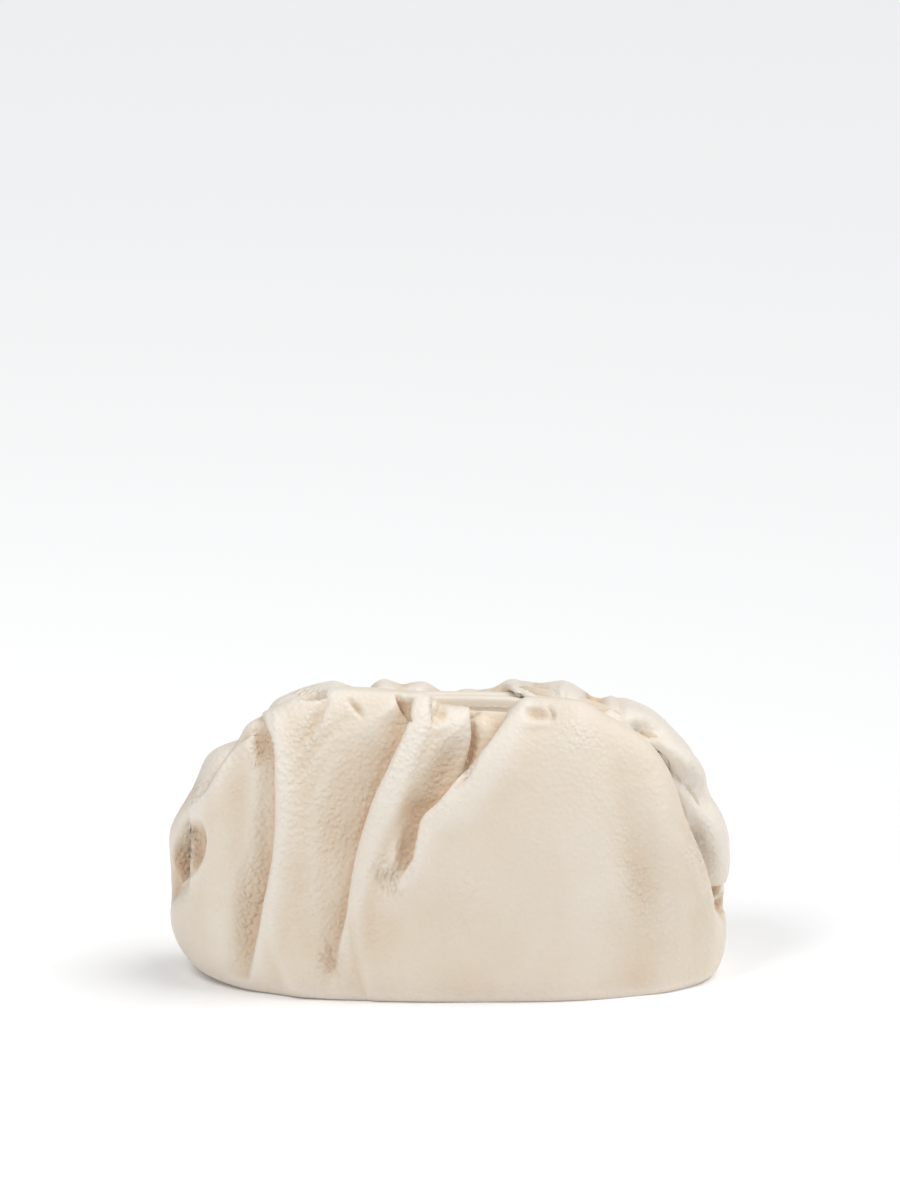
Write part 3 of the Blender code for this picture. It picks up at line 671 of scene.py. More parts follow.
UP = np.array([0.0, math.sin(CAMERA_ELEVATION), math.cos(CAMERA_ELEVATION)])
TOWARDS_CAMERA = np.array([0.0, -math.cos(CAMERA_ELEVATION), math.sin(CAMERA_ELEVATION)])


def seen_at(points):
    """The photo pixels at which points are seen from the front."""
    column = PHOTO_MIDDLE_COLUMN + points[..., 0] / PIXEL
    row = PHOTO_FLOOR_ROW - (points @ UP) / PIXEL
    return np.stack([column, row], axis=-1)


def along_line(pixels, line):
    """For each pixel its share along a drawn line, its distance to the line's right side as
    the line goes down, and how far past the line's ends it lies, in metres."""
    line = np.asarray(line, float)
    marks = travelled(line)
    samples = through(marks / marks[-1], line, np.linspace(0.0, 1.0, LINE_SAMPLES))
    tangent = unit(np.gradient(samples, axis=0))
    spacing = marks[-1] / (LINE_SAMPLES - 1)
    squares = np.sum((pixels[:, None] - samples[None]) ** 2, axis=2)
    nearest = np.argmin(squares, axis=1)
    offset = pixels - samples[nearest]
    ahead = np.sum(offset * tangent[nearest], axis=1)
    right = np.stack([tangent[nearest][:, 1], -tangent[nearest][:, 0]], axis=1)
    across = np.sum(offset * right, axis=1)
    share = np.clip((nearest + ahead / spacing) / (LINE_SAMPLES - 1), 0.0, 1.0)
    at_start, at_end = nearest == 0, nearest == LINE_SAMPLES - 1
    past = np.where(at_start, -ahead, np.where(at_end, ahead, 0.0))
    return share, across * PIXEL, np.maximum(past, 0.0) * PIXEL, right


def spread(values, share):
    """Values given evenly along a line, in millimetres, read at shares of it in metres."""
    values = np.atleast_1d(np.asarray(values, float))
    if len(values) == 1:
        return np.full(len(share), values[0] * MM)
    return through(np.linspace(0.0, 1.0, len(values)), values, share) * MM


def near(grid, normals, line, reach, half):
    """Which places of the grid a drawn line can touch: on its half, near it and in view."""
    pixels = seen_at(grid)
    low = np.min(line, axis=0) - reach
    high = np.max(line, axis=0) + reach
    inside = np.all((pixels > low) & (pixels < high), axis=2) & (RUNS > 0.0)[None, :]
    wanted = {"front": LOOPS <= 1.0, "back": LOOPS >= 1.0, "both": LOOPS >= 0.0}[half]
    if half == "back":
        inside &= ((RUNS < BELLY) & (RUNS > BACK_ROWS_FROM * SHOULDER))[None, :]
    return inside & wanted[:, None] & (normals @ TOWARDS_CAMERA > TURNED_AWAY)


def in_view(normals):
    """1 where the sheet faces the camera, falling to 0 where it turns away."""
    return ease((normals @ TOWARDS_CAMERA - TURNED_AWAY) / TURNING_AWAY)


def in_oval(pixels, middle, radii, turn):
    """Offsets from an oval's middle along its own axes, and how far out they lie: 1 at its rim."""
    offset = pixels - np.asarray(middle, float)
    angle = math.radians(turn)
    across = offset[..., 0] * math.cos(angle) + offset[..., 1] * math.sin(angle)
    down = -offset[..., 0] * math.sin(angle) + offset[..., 1] * math.cos(angle)
    return across, down, np.hypot(across / radii[0], down / radii[1])


SPOKE_DEPTH = 0.35 * MM
EDGE_LEANS_AT = 0.4
CREST_LEANS = 0.6
LINE_FADE = 2.5 * MM


def press_tuck(grid, normals, line, depth, valley, height, crest, roll, over, side=1, half="front"):
    """Press one tuck along a drawn line: a valley on one side and a rolled edge on the other.

    depth and valley are how deep and how wide the valley is, height and crest the same for
    the roll, roll is the radius of the edge and over how far it leans across the valley.
    The valley is on the line's left, or on its right for side -1."""
    reach = (max(np.max(valley), np.max(roll) + np.max(crest)) + 3.0) * MM / PIXEL
    found = near(grid, normals, line, reach, half)
    share, across, past, right = along_line(seen_at(grid[found]), line)
    sizes = [spread(values, share) for values in (depth, valley, height, crest, roll, over)]
    depth, valley, height, crest, roll, over = sizes
    across = across * side
    climb = np.clip(across / roll, 0.0, 1.0)
    in_valley = -depth * (1.0 - ease(-across / valley))
    on_edge = -depth + (depth + height) * np.sqrt(1.0 - (1.0 - climb) ** 2)
    on_roll = height * (1.0 - ease((across - roll) / crest))
    out = np.where(across < 0.0, in_valley, np.where(across < roll, on_edge, on_roll))
    leaning = over * ease(across / (EDGE_LEANS_AT * roll))
    leaning = leaning * (1.0 - ease((across - EDGE_LEANS_AT * roll) / (roll + CREST_LEANS * crest)))
    fade = (1.0 - ease(past / LINE_FADE)) * in_view(normals[found])
    facing = normals[found]
    sideways = right[:, :1] * np.array([1.0, 0.0, 0.0]) - right[:, 1:] * UP
    sideways = unit(sideways - facing * np.sum(sideways * facing, axis=1, keepdims=True))
    moved = grid.copy()
    moved[found] += facing * (out * fade)[:, None]
    moved[found] -= sideways * (side * leaning * fade)[:, None]
    return moved


def press_line(grid, normals, line, height, width, half="front"):
    """Raise a soft ridge along a drawn line, or press a crease where height is negative."""
    reach = (np.max(width) + 2.0) * MM / PIXEL
    found = near(grid, normals, line, reach, half)
    share, across, past, _ = along_line(seen_at(grid[found]), line)
    height, width = spread(height, share), spread(width, share)
    out = height * (1.0 - ease(np.hypot(across, past) / width)) * in_view(normals[found])
    moved = grid.copy()
    moved[found] += normals[found] * out[:, None]
    return moved


def press_hollow(grid, normals, middle, radii, turn, depth, rim=1.0, spokes=0, half="front"):
    """Press an oval hollow. radii are in pixels, turn is in degrees from upright, and rim
    makes its sides steeper. spokes is how many creases run into it from all round."""
    found = near(grid, normals, np.array([middle]), max(radii) + 2.0, half)
    across, down, away = in_oval(seen_at(grid[found]), middle, radii, turn)
    out = -depth * MM * (1.0 - ease(away) ** rim) * (away < 1.0)
    if spokes:
        angle_round = np.arctan2(down, across)
        wave = np.cos(spokes * angle_round + 2.0 * np.sin(2.0 * angle_round))
        out += SPOKE_DEPTH * wave * np.clip(4.0 * away * (1.0 - away), 0.0, 1.0)
    facing = normals[found]
    out = out * in_view(facing)
    if half == "both":
        shared = np.sum(facing * (away < 1.0)[:, None] * in_view(facing)[:, None], axis=0)
        facing = unit(shared)[None, :]
    moved = grid.copy()
    moved[found] += facing * out[:, None]
    return moved

# %% [markdown]
# The front has four long tucks, and its first puff ends in an edge over the left end. Each
# is given by its edge, from the mouth down, and by sizes in millimetres that change evenly
# along it. They go in one after the other, and the sheet's own directions are worked out
# again in between. A tuck is a valley on one side of its line and a rolled edge on the other
# that leans over the valley. A bump in the material couldn't do that: its outline would stay
# smooth and nothing would hide behind it.

# %% Long tucks of the front
TUCKS = (
    dict(  # edge of the front's first puff over the left end
        line=((256, 733), (238, 748), (222, 770), (205, 795), (182, 812)),
        depth=(0.5, 3.0, 5.0, 5.0, 2.5), valley=(4, 6, 8, 8, 5), height=(0.0, 0.8, 1.2, 1.2, 0.4),
        crest=8, roll=(1.2, 1.5, 1.8, 1.8, 1.4), over=(0.2, 0.8, 1.2, 1.0, 0.4),
    ),
    dict(  # left tuck
        line=((262, 712), (268, 728), (276, 760), (278, 800), (276, 840), (270, 880), (262, 915),
              (255, 945), (248, 975)),
        depth=(0.8, 3.2, 4.4, 5.0, 5.0, 4.0, 1.8), valley=(6, 8, 10, 12, 14, 14, 12),
        height=(0.5, 1.6, 2.2, 2.4, 2.2, 1.6, 0.5), crest=(8, 9, 10, 10, 10, 10, 10),
        roll=(1.5, 1.8, 2.2, 2.6, 2.6, 2.4, 2.0), over=(0.2, 0.8, 1.0, 1.0, 0.8, 0.5, 0.0),
    ),
    dict(  # middle tuck, with the long slope on its left
        line=((413, 704), (410, 722), (400, 748), (385, 780), (372, 810), (360, 845), (353, 880),
              (347, 912), (340, 940), (333, 968)),
        depth=(5.0, 5.0, 6.0, 6.5, 6.5, 5.5, 4.2, 2.8, 1.0),
        valley=(6, 16, 22, 24, 22, 18, 14, 11, 9),
        height=(0.5, 1.2, 1.8, 2.0, 2.0, 1.8, 1.5, 1.0, 0.2),
        crest=(8, 9, 10, 10, 10, 9, 9, 9, 9),
        roll=(1.2, 2.0, 3.0, 3.2, 3.2, 3.0, 2.6, 2.2, 2.0),
        over=(0.8, 1.5, 2.0, 2.0, 1.8, 1.5, 1.0, 0.5, 0.0),
    ),
    dict(  # left edge of the big panel
        line=((509, 700), (504, 716), (495, 732), (483, 750), (465, 772), (440, 802), (421, 820),
              (416, 840), (411, 860), (396, 880)),
        depth=(6.0, 8.0, 8.5, 8.5, 8.0, 7.0, 6.0, 4.5, 1.5),
        valley=(14, 14, 15, 16, 15, 13, 10, 8, 6),
        height=(0.3, 1.0, 1.6, 2.0, 2.2, 2.0, 1.6, 1.2, 0.4),
        crest=(10, 14, 16, 16, 16, 14, 12, 10, 8),
        roll=(1.5, 2.2, 3.0, 3.5, 3.6, 3.2, 2.6, 2.0, 1.5),
        over=(0.3, 1.0, 1.5, 2.0, 2.2, 1.8, 1.2, 0.8, 0.0),
    ),
    dict(  # right edge of the narrow gather, over the recess
        line=((469, 700), (470, 716), (470, 735), (467, 755), (462, 775), (450, 795)),
        depth=(4.0, 5.5, 5.5, 4.5, 2.5, 0.5), valley=(5, 6, 6, 5, 4, 3),
        height=(0.3, 0.8, 1.0, 0.8, 0.4, 0.0), crest=(8, 9, 9, 9, 8, 8),
        roll=(1.2, 1.8, 2.0, 2.0, 1.8, 1.5), over=(0.5, 1.2, 1.5, 1.2, 0.6, 0.0), side=-1,
    ),
)

for tuck in TUCKS:
    sheet = press_tuck(sheet, facing_out(sheet), **tuck)
print(len(TUCKS), "tucks pressed")

# %% [markdown]
# Between the tucks lie pockets, dimples and creases where the gathered leather is pinched
# into the frame. They are too small for rows of their own in the tables above, so they are
# pressed in as single marks. A hollow is an oval with its middle and its two radii in
# pixels. A line is a ridge where its height is positive and a crease where it is negative,
# in millimetres.

# %% Hollows, creases and ridges
HOLLOWS = (
    dict(middle=(191, 847), radii=(18, 35), turn=8, depth=6.0, rim=2.2, half="both"),  # left pocket
    dict(middle=(187, 868), radii=(10, 14), turn=8, depth=2.5, half="both"),
    dict(middle=(724, 903), radii=(13, 10), turn=-20, depth=4.5, rim=1.5, half="both"),  # notch
    dict(middle=(264, 748), radii=(14, 27), turn=-8, depth=2.2, spokes=9),  # top of the left tuck
    dict(middle=(312, 694), radii=(21, 10), turn=0, depth=3.0, rim=1.5, spokes=11),
    dict(middle=(440, 713), radii=(8, 12), turn=0, depth=2.6, rim=1.6),  # dimple, narrow gather
    dict(middle=(536, 715), radii=(18, 9), turn=12, depth=2.0, rim=1.6),  # dimple, big panel
    dict(middle=(406, 852), radii=(12, 28), turn=8, depth=1.4, spokes=13),
    dict(middle=(388, 882), radii=(26, 16), turn=30, depth=0.9, spokes=15),
    dict(middle=(333, 962), radii=(16, 26), turn=10, depth=1.0, spokes=9),
    dict(middle=(648, 731), radii=(24, 11), turn=14, depth=5.0, rim=2.0, spokes=15, half="back"),
    dict(middle=(698, 846), radii=(13, 36), turn=-16, depth=4.0, rim=1.5, spokes=13, half="back"),
    dict(middle=(508, 695), radii=(9, 5), turn=0, depth=1.5, half="back"),
    dict(middle=(595, 700), radii=(11, 8), turn=20, depth=4.0, rim=1.5, spokes=7, half="back"),
    dict(middle=(541, 691), radii=(18, 8), turn=18, depth=1.6, spokes=11, half="back"),
)
CREASES = (
    dict(line=((350, 702), (357, 709), (364, 719)), height=(-0.8, -1.8, -0.5), width=1.8),
    dict(line=((326, 704), (318, 718), (310, 735), (301, 750)),
         height=(-1.0, -1.8, -1.4, -0.4), width=3.2),
    dict(line=((398, 697), (404, 709), (411, 722)),
         height=(-2.5, -4.0, -1.5), width=(1.2, 1.8, 1.2)),
    dict(line=((432, 702), (432, 713), (434, 726)), height=(-1.5, -2.5, -0.8), width=1.4),
    dict(line=((430, 729), (438, 731), (448, 726)), height=(0.4, 0.9, 0.3), width=2.0),
    dict(line=((430, 700), (420, 740), (400, 790), (386, 830), (375, 862)),
         height=(0.5, 1.2, 1.2, 1.0, 0.3), width=5.0),
    dict(line=((548, 708), (552, 716), (549, 724)), height=(-1.0, -1.8, -0.5), width=1.3),
    dict(line=((520, 725), (536, 726), (550, 725)), height=(0.3, 0.8, 0.4), width=2.2),
    dict(line=((622, 830), (640, 880), (655, 930)), height=(-0.5, -1.2, -0.4), width=12.0),
    dict(line=((655, 790), (672, 850), (690, 900)), height=(0.4, 1.0, 0.4), width=8.0),
    dict(line=((680, 840), (700, 892)), height=(0.6, 0.5), width=4.0),
    dict(line=((345, 722), (318, 748), (296, 782)), height=(-0.3, -0.9, -0.3), width=4.0),
    dict(line=((340, 745), (322, 770), (310, 800)), height=(-0.2, -0.7, -0.2), width=4.0),
)
BACK_CREASES = (
    dict(line=((651, 752), (672, 772), (700, 796), (718, 822)),
         height=(-1.5, -3.6, -3.2, -0.8), width=4.0),
    dict(line=((660, 742), (684, 762), (708, 784)), height=(0.6, 2.0, 0.6), width=5.0),
    dict(line=((366, 680), (369, 690), (374, 702)), height=(-0.8, -1.8, -1.0), width=2.4),
    dict(line=((404, 679), (401, 690), (397, 702)), height=(-0.4, -1.2, -1.0), width=2.4),
    dict(line=((446, 679), (449, 688), (453, 697)), height=(-1.0, -1.6, -0.8), width=3.0),
    dict(line=((482, 680), (479, 690), (478, 698)), height=(-0.5, -0.9, -0.4), width=2.4),
    dict(line=((521, 682), (520, 693), (518, 704)), height=(-0.8, -1.4, -0.8), width=2.4),
    dict(line=((562, 685), (562, 697), (560, 709)), height=(0.8, 1.4, 0.6), width=2.4),
    dict(line=((569, 688), (569, 700), (566, 712)), height=(-0.8, -1.6, -0.6), width=2.2),
    dict(line=((611, 696), (611, 706), (608, 716)), height=(0.6, 1.4, 0.6), width=2.6),
    dict(line=((619, 698), (619, 709), (617, 722)), height=(-0.8, -1.8, -0.6), width=2.4),
)

for hollow in HOLLOWS:
    sheet = press_hollow(sheet, facing_out(sheet), **hollow)
for crease in CREASES:
    sheet = press_line(sheet, facing_out(sheet), **crease)
for crease in BACK_CREASES:
    sheet = press_line(sheet, facing_out(sheet), half="back", **crease)
print(len(HOLLOWS), "hollows and", len(CREASES) + len(BACK_CREASES), "lines pressed")

# %% [markdown]
# The finishes come before the pieces. Soft leather with a pebbled grain is small cushions
# with fine furrows between them, so the grain group bends a Voronoi pattern with noise and
# reads its smooth distance to the cell middles. Plain noise has no such cushions.
# Creased leather bunches those cushions up, so the wrinkle group adds longer ridges. A third
# group gives the colour: warmer and deeper in the folds and in the grain's furrows, which is
# painted shade, paler on the crests, which is a painted highlight, and never quite even in
# between. They are groups because both leathers use them.
# Pairs of numbers for a noise are its scale and its detail.

# %% Helpers for nodes
def feed(tree, node, values):
    """Set each value on its socket of a node, or link it if it is a socket itself."""
    for name, value in values.items():
        if isinstance(value, bpy.types.NodeSocket):
            tree.links.new(value, node.inputs[name])
        else:
            node.inputs[name].default_value = value


def put(tree, kind, values=None, **settings):
    """Add a node with its settings and values."""
    made = tree.nodes.new(kind)
    for name, value in settings.items():
        setattr(made, name, value)
    feed(tree, made, values or {})
    return made


def new_group(name, inputs, outputs):
    """A shader node group with named sockets, and its two end nodes."""
    tree = bpy.data.node_groups.new(name, "ShaderNodeTree")
    for label, kind in inputs:
        tree.interface.new_socket(label, in_out="INPUT", socket_type="NodeSocket" + kind)
    for label, kind in outputs:
        tree.interface.new_socket(label, in_out="OUTPUT", socket_type="NodeSocket" + kind)
    return tree, tree.nodes.new("NodeGroupInput").outputs, tree.nodes.new("NodeGroupOutput")


def sum_of(tree, first, second, kind="ADD"):
    """One sum of two numbers or sockets."""
    return put(tree, "ShaderNodeMath", {0: first, 1: second}, operation=kind).outputs[0]


def vector_of(tree, kind, first, second):
    """One sum of two vectors, or a vector scaled by a number."""
    other = "Scale" if kind == "SCALE" else 1
    return put(tree, "ShaderNodeVectorMath", {0: first, other: second}, operation=kind).outputs[0]


def noise_at(tree, place, scale, detail):
    """The outputs of a noise texture."""
    values = {"Vector": place, "Scale": scale, "Detail": detail}
    return put(tree, "ShaderNodeTexNoise", values).outputs


def ranged(tree, value, reads=(0.0, 1.0), gives=(0.0, 1.0), shape="LINEAR"):
    """A number moved from one range to another."""
    values = {"Value": value, "From Min": reads[0], "From Max": reads[1]}
    values.update({"To Min": gives[0], "To Max": gives[1]})
    return put(tree, "ShaderNodeMapRange", values, interpolation_type=shape).outputs[0]


def mix_of(tree, share, first, second):
    """A colour between two colours. Its colour inputs have the numbers 6 and 7."""
    values = {"Factor": share, 6: first, 7: second}
    return put(tree, "ShaderNodeMix", values, data_type="RGBA").outputs[2]


def bump_of(tree, height, distance, strength):
    """The direction that a surface faces once its fine height is counted."""
    values = {"Height": height, "Distance": distance, "Strength": strength}
    return put(tree, "ShaderNodeBump", values).outputs["Normal"]


# %% The pebbled grain
GRAIN_DRIFT = (0.7, 2.0)
CELL_SMOOTHNESS = 0.25
CUSHION = (0.10, 0.75)
FURROW = (0.50, 0.75)
PORES = (3.5, 3.0)
PORE_DEPTH = 0.05


def grain_group():
    """Cushions of a given size with furrows between them."""
    tree, given, result = new_group(
        "pebbled_grain",
        (("Place", "Vector"), ("Cell Size", "Float"), ("Bend", "Float")),
        (("Height", "Float"), ("Furrow", "Float")),
    )
    per_metre = sum_of(tree, 1.0, given["Cell Size"], "DIVIDE")
    scaled = vector_of(tree, "SCALE", given["Place"], per_metre)
    drift = noise_at(tree, scaled, *GRAIN_DRIFT)["Color"]
    centred = vector_of(tree, "SUBTRACT", drift, (0.5, 0.5, 0.5))
    bent = vector_of(tree, "SCALE", centred, given["Bend"])
    place = vector_of(tree, "ADD", scaled, bent)
    values = {"Vector": place, "Scale": 1.0, "Smoothness": CELL_SMOOTHNESS}
    cells = put(tree, "ShaderNodeTexVoronoi", values, feature="SMOOTH_F1").outputs["Distance"]
    cushion = ranged(tree, cells, CUSHION, (1.0, 0.0), "SMOOTHSTEP")
    furrow = ranged(tree, cells, FURROW, shape="SMOOTHSTEP")
    fine = sum_of(tree, noise_at(tree, scaled, *PORES)["Fac"], PORE_DEPTH, "MULTIPLY")
    feed(tree, result, {"Height": sum_of(tree, cushion, fine), "Furrow": furrow})
    return tree


# %% The bunched wrinkles
WRINKLE_SWIRL = (0.6, 1.0)
WRINKLE_FIELD = (1.0, 1.0)
RIDGE_WIDTH = 0.14


def wrinkle_group():
    """Longer ridges of bunched leather, at a given size."""
    tree, given, result = new_group(
        "bunched_wrinkles",
        (("Place", "Vector"), ("Size", "Float")),
        (("Height", "Float"),),
    )
    per_metre = sum_of(tree, 1.0, given["Size"], "DIVIDE")
    scaled = vector_of(tree, "SCALE", given["Place"], per_metre)
    swirl = noise_at(tree, scaled, *WRINKLE_SWIRL)["Color"]
    field = noise_at(tree, vector_of(tree, "ADD", scaled, swirl), *WRINKLE_FIELD)["Fac"]
    ridge = sum_of(tree, sum_of(tree, field, 0.5, "SUBTRACT"), 0.0, "ABSOLUTE")
    feed(tree, result, {"Height": ranged(tree, ridge, (0.0, RIDGE_WIDTH), shape="SMOOTHSTEP")})
    return tree


# %% The tone of the leather
CLOUD = (38.0, 4.0)
CLOUD_READS = (0.35, 0.68)
CLOUD_GIVES = (0.0, 0.22)
# How far the valleys and the foot mix toward the deep cream: painted shade.
VALLEY_SHADE = 0.75
# How far the grain's furrows mix toward the deep cream: painted shade in them.
FURROW_SHADE = 0.18
# How far the crests mix toward the paler cream: a painted highlight.
CREST_HIGHLIGHT = 0.6


def tone_group():
    """The leather's colour, from its place in the folds: painted shade in the valleys and the
    grain's furrows, and a painted highlight on the crests.
    """
    tree, given, result = new_group(
        "leather_tone",
        (("Place", "Vector"), ("Plain", "Color"), ("Deep", "Color"), ("Highlight", "Color"),
         ("Valley", "Float"), ("Crest", "Float"), ("Furrow", "Float")),
        (("Color", "Color"), ("Unevenness", "Float")),
    )
    cloud = noise_at(tree, given["Place"], *CLOUD)["Fac"]
    patch = ranged(tree, cloud, CLOUD_READS, CLOUD_GIVES)
    # Painted shade: the valleys and the foot mix toward the deep cream, and the cloud adds random
    # tone.
    deep_here = sum_of(tree, given["Valley"], VALLEY_SHADE, "MULTIPLY")
    # Painted shade in the grain's furrows, stronger where the leather is wrinkled.
    deep_here = sum_of(tree, deep_here, sum_of(tree, given["Furrow"], FURROW_SHADE, "MULTIPLY"))
    deep_here = put(tree, "ShaderNodeClamp", {"Value": sum_of(tree, deep_here, patch)}).outputs[0]
    shaded = mix_of(tree, deep_here, given["Plain"], given["Deep"])
    # Painted highlight: the crests mix toward the paler cream.
    highlight_here = sum_of(tree, given["Crest"], CREST_HIGHLIGHT, "MULTIPLY")
    painted_highlight = mix_of(tree, highlight_here, shaded, given["Highlight"])
    feed(tree, result, {"Color": painted_highlight, "Unevenness": cloud})
    return tree


pebbled_grain = grain_group()
bunched_wrinkles = wrinkle_group()
leather_tone = tone_group()
print("groups", [tree.name for tree in (pebbled_grain, bunched_wrinkles, leather_tone)])

# %% [markdown]
# The body and the lips are cut from the same leather. The lips are pulled tight over the
# frame, so their grain is flatter and they have no wrinkles. Their paler cream is a painted
# highlight on their flat tops. The shader's sheen stands for the soft nap that pale leather
# has.

# %% Cream leather
PLAIN_CREAM = (0.780, 0.680, 0.545, 1.0)
# The lips' cream is paler than the body's: a painted highlight on their flat tops.
LIT_LIP_CREAM = (0.850, 0.780, 0.680, 1.0)
# The deep cream is painted shade in the valleys, the foot and the furrows, and random tone under
# the cloud.
DEEP_CREAM = (0.700, 0.520, 0.370, 1.0)
# The paler cream of the crests is a painted highlight.
HIGHLIGHT_CREAM = (0.890, 0.840, 0.770, 1.0)
GRAIN_SIZE = 0.0021
GRAIN_BEND = 0.7
WRINKLE_SIZE = 0.0042
FURROW_LEAST = 0.25
PEBBLES_RISE = (0.40, 1.7)
ROUGHNESS_READS = (0.3, 0.7)
GLOSS = 0.4
NAP = 0.12


def new_finish(name):
    """A new material, with its node tree and its shader."""
    material = bpy.data.materials.new(name)
    material.use_nodes = True
    return material, material.node_tree, material.node_tree.nodes["Principled BSDF"]


def place_on_piece(tree):
    """The place on the piece, in metres."""
    return put(tree, "ShaderNodeTexCoord").outputs["Object"]


def leather(name, plain, grain_depth, wrinkle_depth, roughness):
    """Pebbled cream leather. The depths are in metres."""
    material, tree, shader = new_finish(name)
    place = place_on_piece(tree)
    # The valley mark brings painted shade into the colour, the crest mark a painted highlight.
    deep, painted_highlight, bunched = (
        put(tree, "ShaderNodeAttribute", attribute_name=number).outputs["Fac"]
        for number in ("valley", "crest", "crinkle")
    )
    grain = put(tree, "ShaderNodeGroup", {
        "Place": place, "Cell Size": GRAIN_SIZE, "Bend": GRAIN_BEND,
    }, node_tree=pebbled_grain).outputs
    wrinkles = put(tree, "ShaderNodeGroup", {
        "Place": place, "Size": WRINKLE_SIZE,
    }, node_tree=bunched_wrinkles).outputs
    # The grain's furrows get painted shade, more where the leather is wrinkled.
    tone = put(tree, "ShaderNodeGroup", {
        "Place": place, "Plain": plain, "Deep": DEEP_CREAM, "Highlight": HIGHLIGHT_CREAM,
        "Valley": deep, "Crest": painted_highlight,
        "Furrow": sum_of(tree, grain["Furrow"], sum_of(tree, bunched, FURROW_LEAST), "MULTIPLY"),
    }, node_tree=leather_tone).outputs
    rising = ranged(tree, bunched, gives=PEBBLES_RISE)
    pebbles = sum_of(tree, grain["Height"], rising, "MULTIPLY")
    pebbles = sum_of(tree, pebbles, grain_depth, "MULTIPLY")
    folds = sum_of(tree, wrinkles["Height"], bunched, "MULTIPLY")
    folds = sum_of(tree, folds, wrinkle_depth, "MULTIPLY")
    feed(tree, shader, {
        "Base Color": tone["Color"],
        "Roughness": ranged(tree, tone["Unevenness"], ROUGHNESS_READS, roughness),
        "Normal": bump_of(tree, sum_of(tree, pebbles, folds), 1.0, 1.0),
        "Specular IOR Level": GLOSS,
        "Sheen Weight": NAP,
        "Sheen Roughness": 0.5,
    })
    return material


cream_leather = leather("cream_leather", PLAIN_CREAM, 0.00032, 0.00020, (0.42, 0.56))
lip_leather = leather("lip_leather", LIT_LIP_CREAM, 0.00006, 0.0, (0.40, 0.50))

# %% [markdown]
# The thread is a shade paler than the leather and slightly twisted. The hinge pins are
# brushed steel, so their noise is stretched along the pin.

# %% Thread and metal
THREAD_COLOURS = ((0.76, 0.67, 0.54, 1.0), (0.86, 0.79, 0.68, 1.0))
THREAD_TWIST = (2600.0, 2.0)
STEEL_COLOURS = ((0.58, 0.56, 0.52, 1.0), (0.74, 0.72, 0.68, 1.0))
STEEL_STRETCH = (1.0, 0.06, 1.0)
STEEL_SCRATCHES = (2200.0, 3.0)

seam_thread, tree, shader = new_finish("seam_thread")
twist = noise_at(tree, place_on_piece(tree), *THREAD_TWIST)["Fac"]
feed(tree, shader, {
    "Base Color": mix_of(tree, twist, *THREAD_COLOURS),
    "Roughness": ranged(tree, twist, gives=(0.6, 0.8)),
    "Normal": bump_of(tree, twist, 0.0001, 0.6),
})

pin_metal, tree, shader = new_finish("pin_metal")
stretched = put(tree, "ShaderNodeMapping", {"Vector": place_on_piece(tree), "Scale": STEEL_STRETCH})
scratches = noise_at(tree, stretched.outputs[0], *STEEL_SCRATCHES)["Fac"]
feed(tree, shader, {
    "Base Color": mix_of(tree, scratches, *STEEL_COLOURS),
    "Roughness": ranged(tree, scratches, gives=(0.22, 0.42)),
    "Normal": bump_of(tree, scratches, 0.00004, 0.5),
    "Metallic": 1.0,
})
print("finishes", cream_leather.name, lip_leather.name, seam_thread.name, pin_metal.name)

# %% [markdown]
# Real leather is never quite smooth, so the whole sheet gets a faint unevenness: one slow
# wave about 20 mm long and one of about 7 mm. Then the script reads off how deep each place
# lies in a fold, against a copy of the sheet with its folds smoothed away. The leather's
# colour and its creases follow those numbers later, in every view: painted shade in the
# valleys and a painted highlight on the crests, and finer wrinkles where it lies deep. The
# foot of the bag gets little light, so it is toned as a valley is, with painted shade.

# %% Unevenness, and how deep each place lies
SLOW_WAVE = (0.45 * MM, 1.0 / 0.020)
QUICK_WAVE = (0.14 * MM, 1.0 / 0.007)
WAVE_FROM = 0.5 * SHOULDER
WAVE_UNTIL = 0.70
EASING_ROUNDS = 60
DEEP = 1.6 * MM
FOOT_START = 0.60
FOOT_SHADE = 0.9


def uneven(points):
    """Two sizes of gentle noise at each point of a list."""
    found = []
    for point in points:
        value = 0.0
        for height, scale in (SLOW_WAVE, QUICK_WAVE):
            value += height * noise.noise(Vector(point) * scale)
        found.append(value)
    return np.array(found)


def eased(grid, rounds):
    """A grid with its folds smoothed away, round the loop and down the sheet."""
    for _ in range(rounds):
        around = (np.roll(grid, 1, axis=0) + np.roll(grid, -1, axis=0)) / 2.0
        grid = (grid + around) / 2.0
        inner = (grid[:, :-2] + grid[:, 2:]) / 2.0
        grid = np.concatenate([grid[:, :1], (grid[:, 1:-1] + inner) / 2.0, grid[:, -1:]], axis=1)
    return grid


wave = uneven(sheet.reshape(-1, 3)).reshape(sheet.shape[:2])
held = ease(RUNS / WAVE_FROM) * (1.0 - ease((RUNS - WAVE_UNTIL) / (FLOOR - WAVE_UNTIL)))
sheet = sheet + facing_out(sheet) * (wave * held)[:, :, None]
sheet = clear_of_lips(sheet - SHIFT, LOOPS, RUNS) + SHIFT
sheet[:, :, 2] = np.maximum(sheet[:, :, 2], 0.0)
height_out = np.sum((sheet - eased(sheet, EASING_ROUNDS)) * facing_out(sheet), axis=2)
# The valley mark is painted shade in the colour, and it also places the fine wrinkles.
valley = np.clip(-height_out / DEEP, 0.0, 1.0) * (RUNS < FLOOR)[None, :]
# The crest mark gives the colour a painted highlight.
crest = np.clip(height_out / DEEP, 0.0, 1.0) * (RUNS < FLOOR)[None, :]
foot = ease((RUNS - FOOT_START) / (FLOOR - FOOT_START))[None, :]
valley = np.clip(valley + FOOT_SHADE * foot, 0.0, 1.0)
print("deepest", round(float(-height_out.min()) * 1000, 2), "mm below its surroundings")

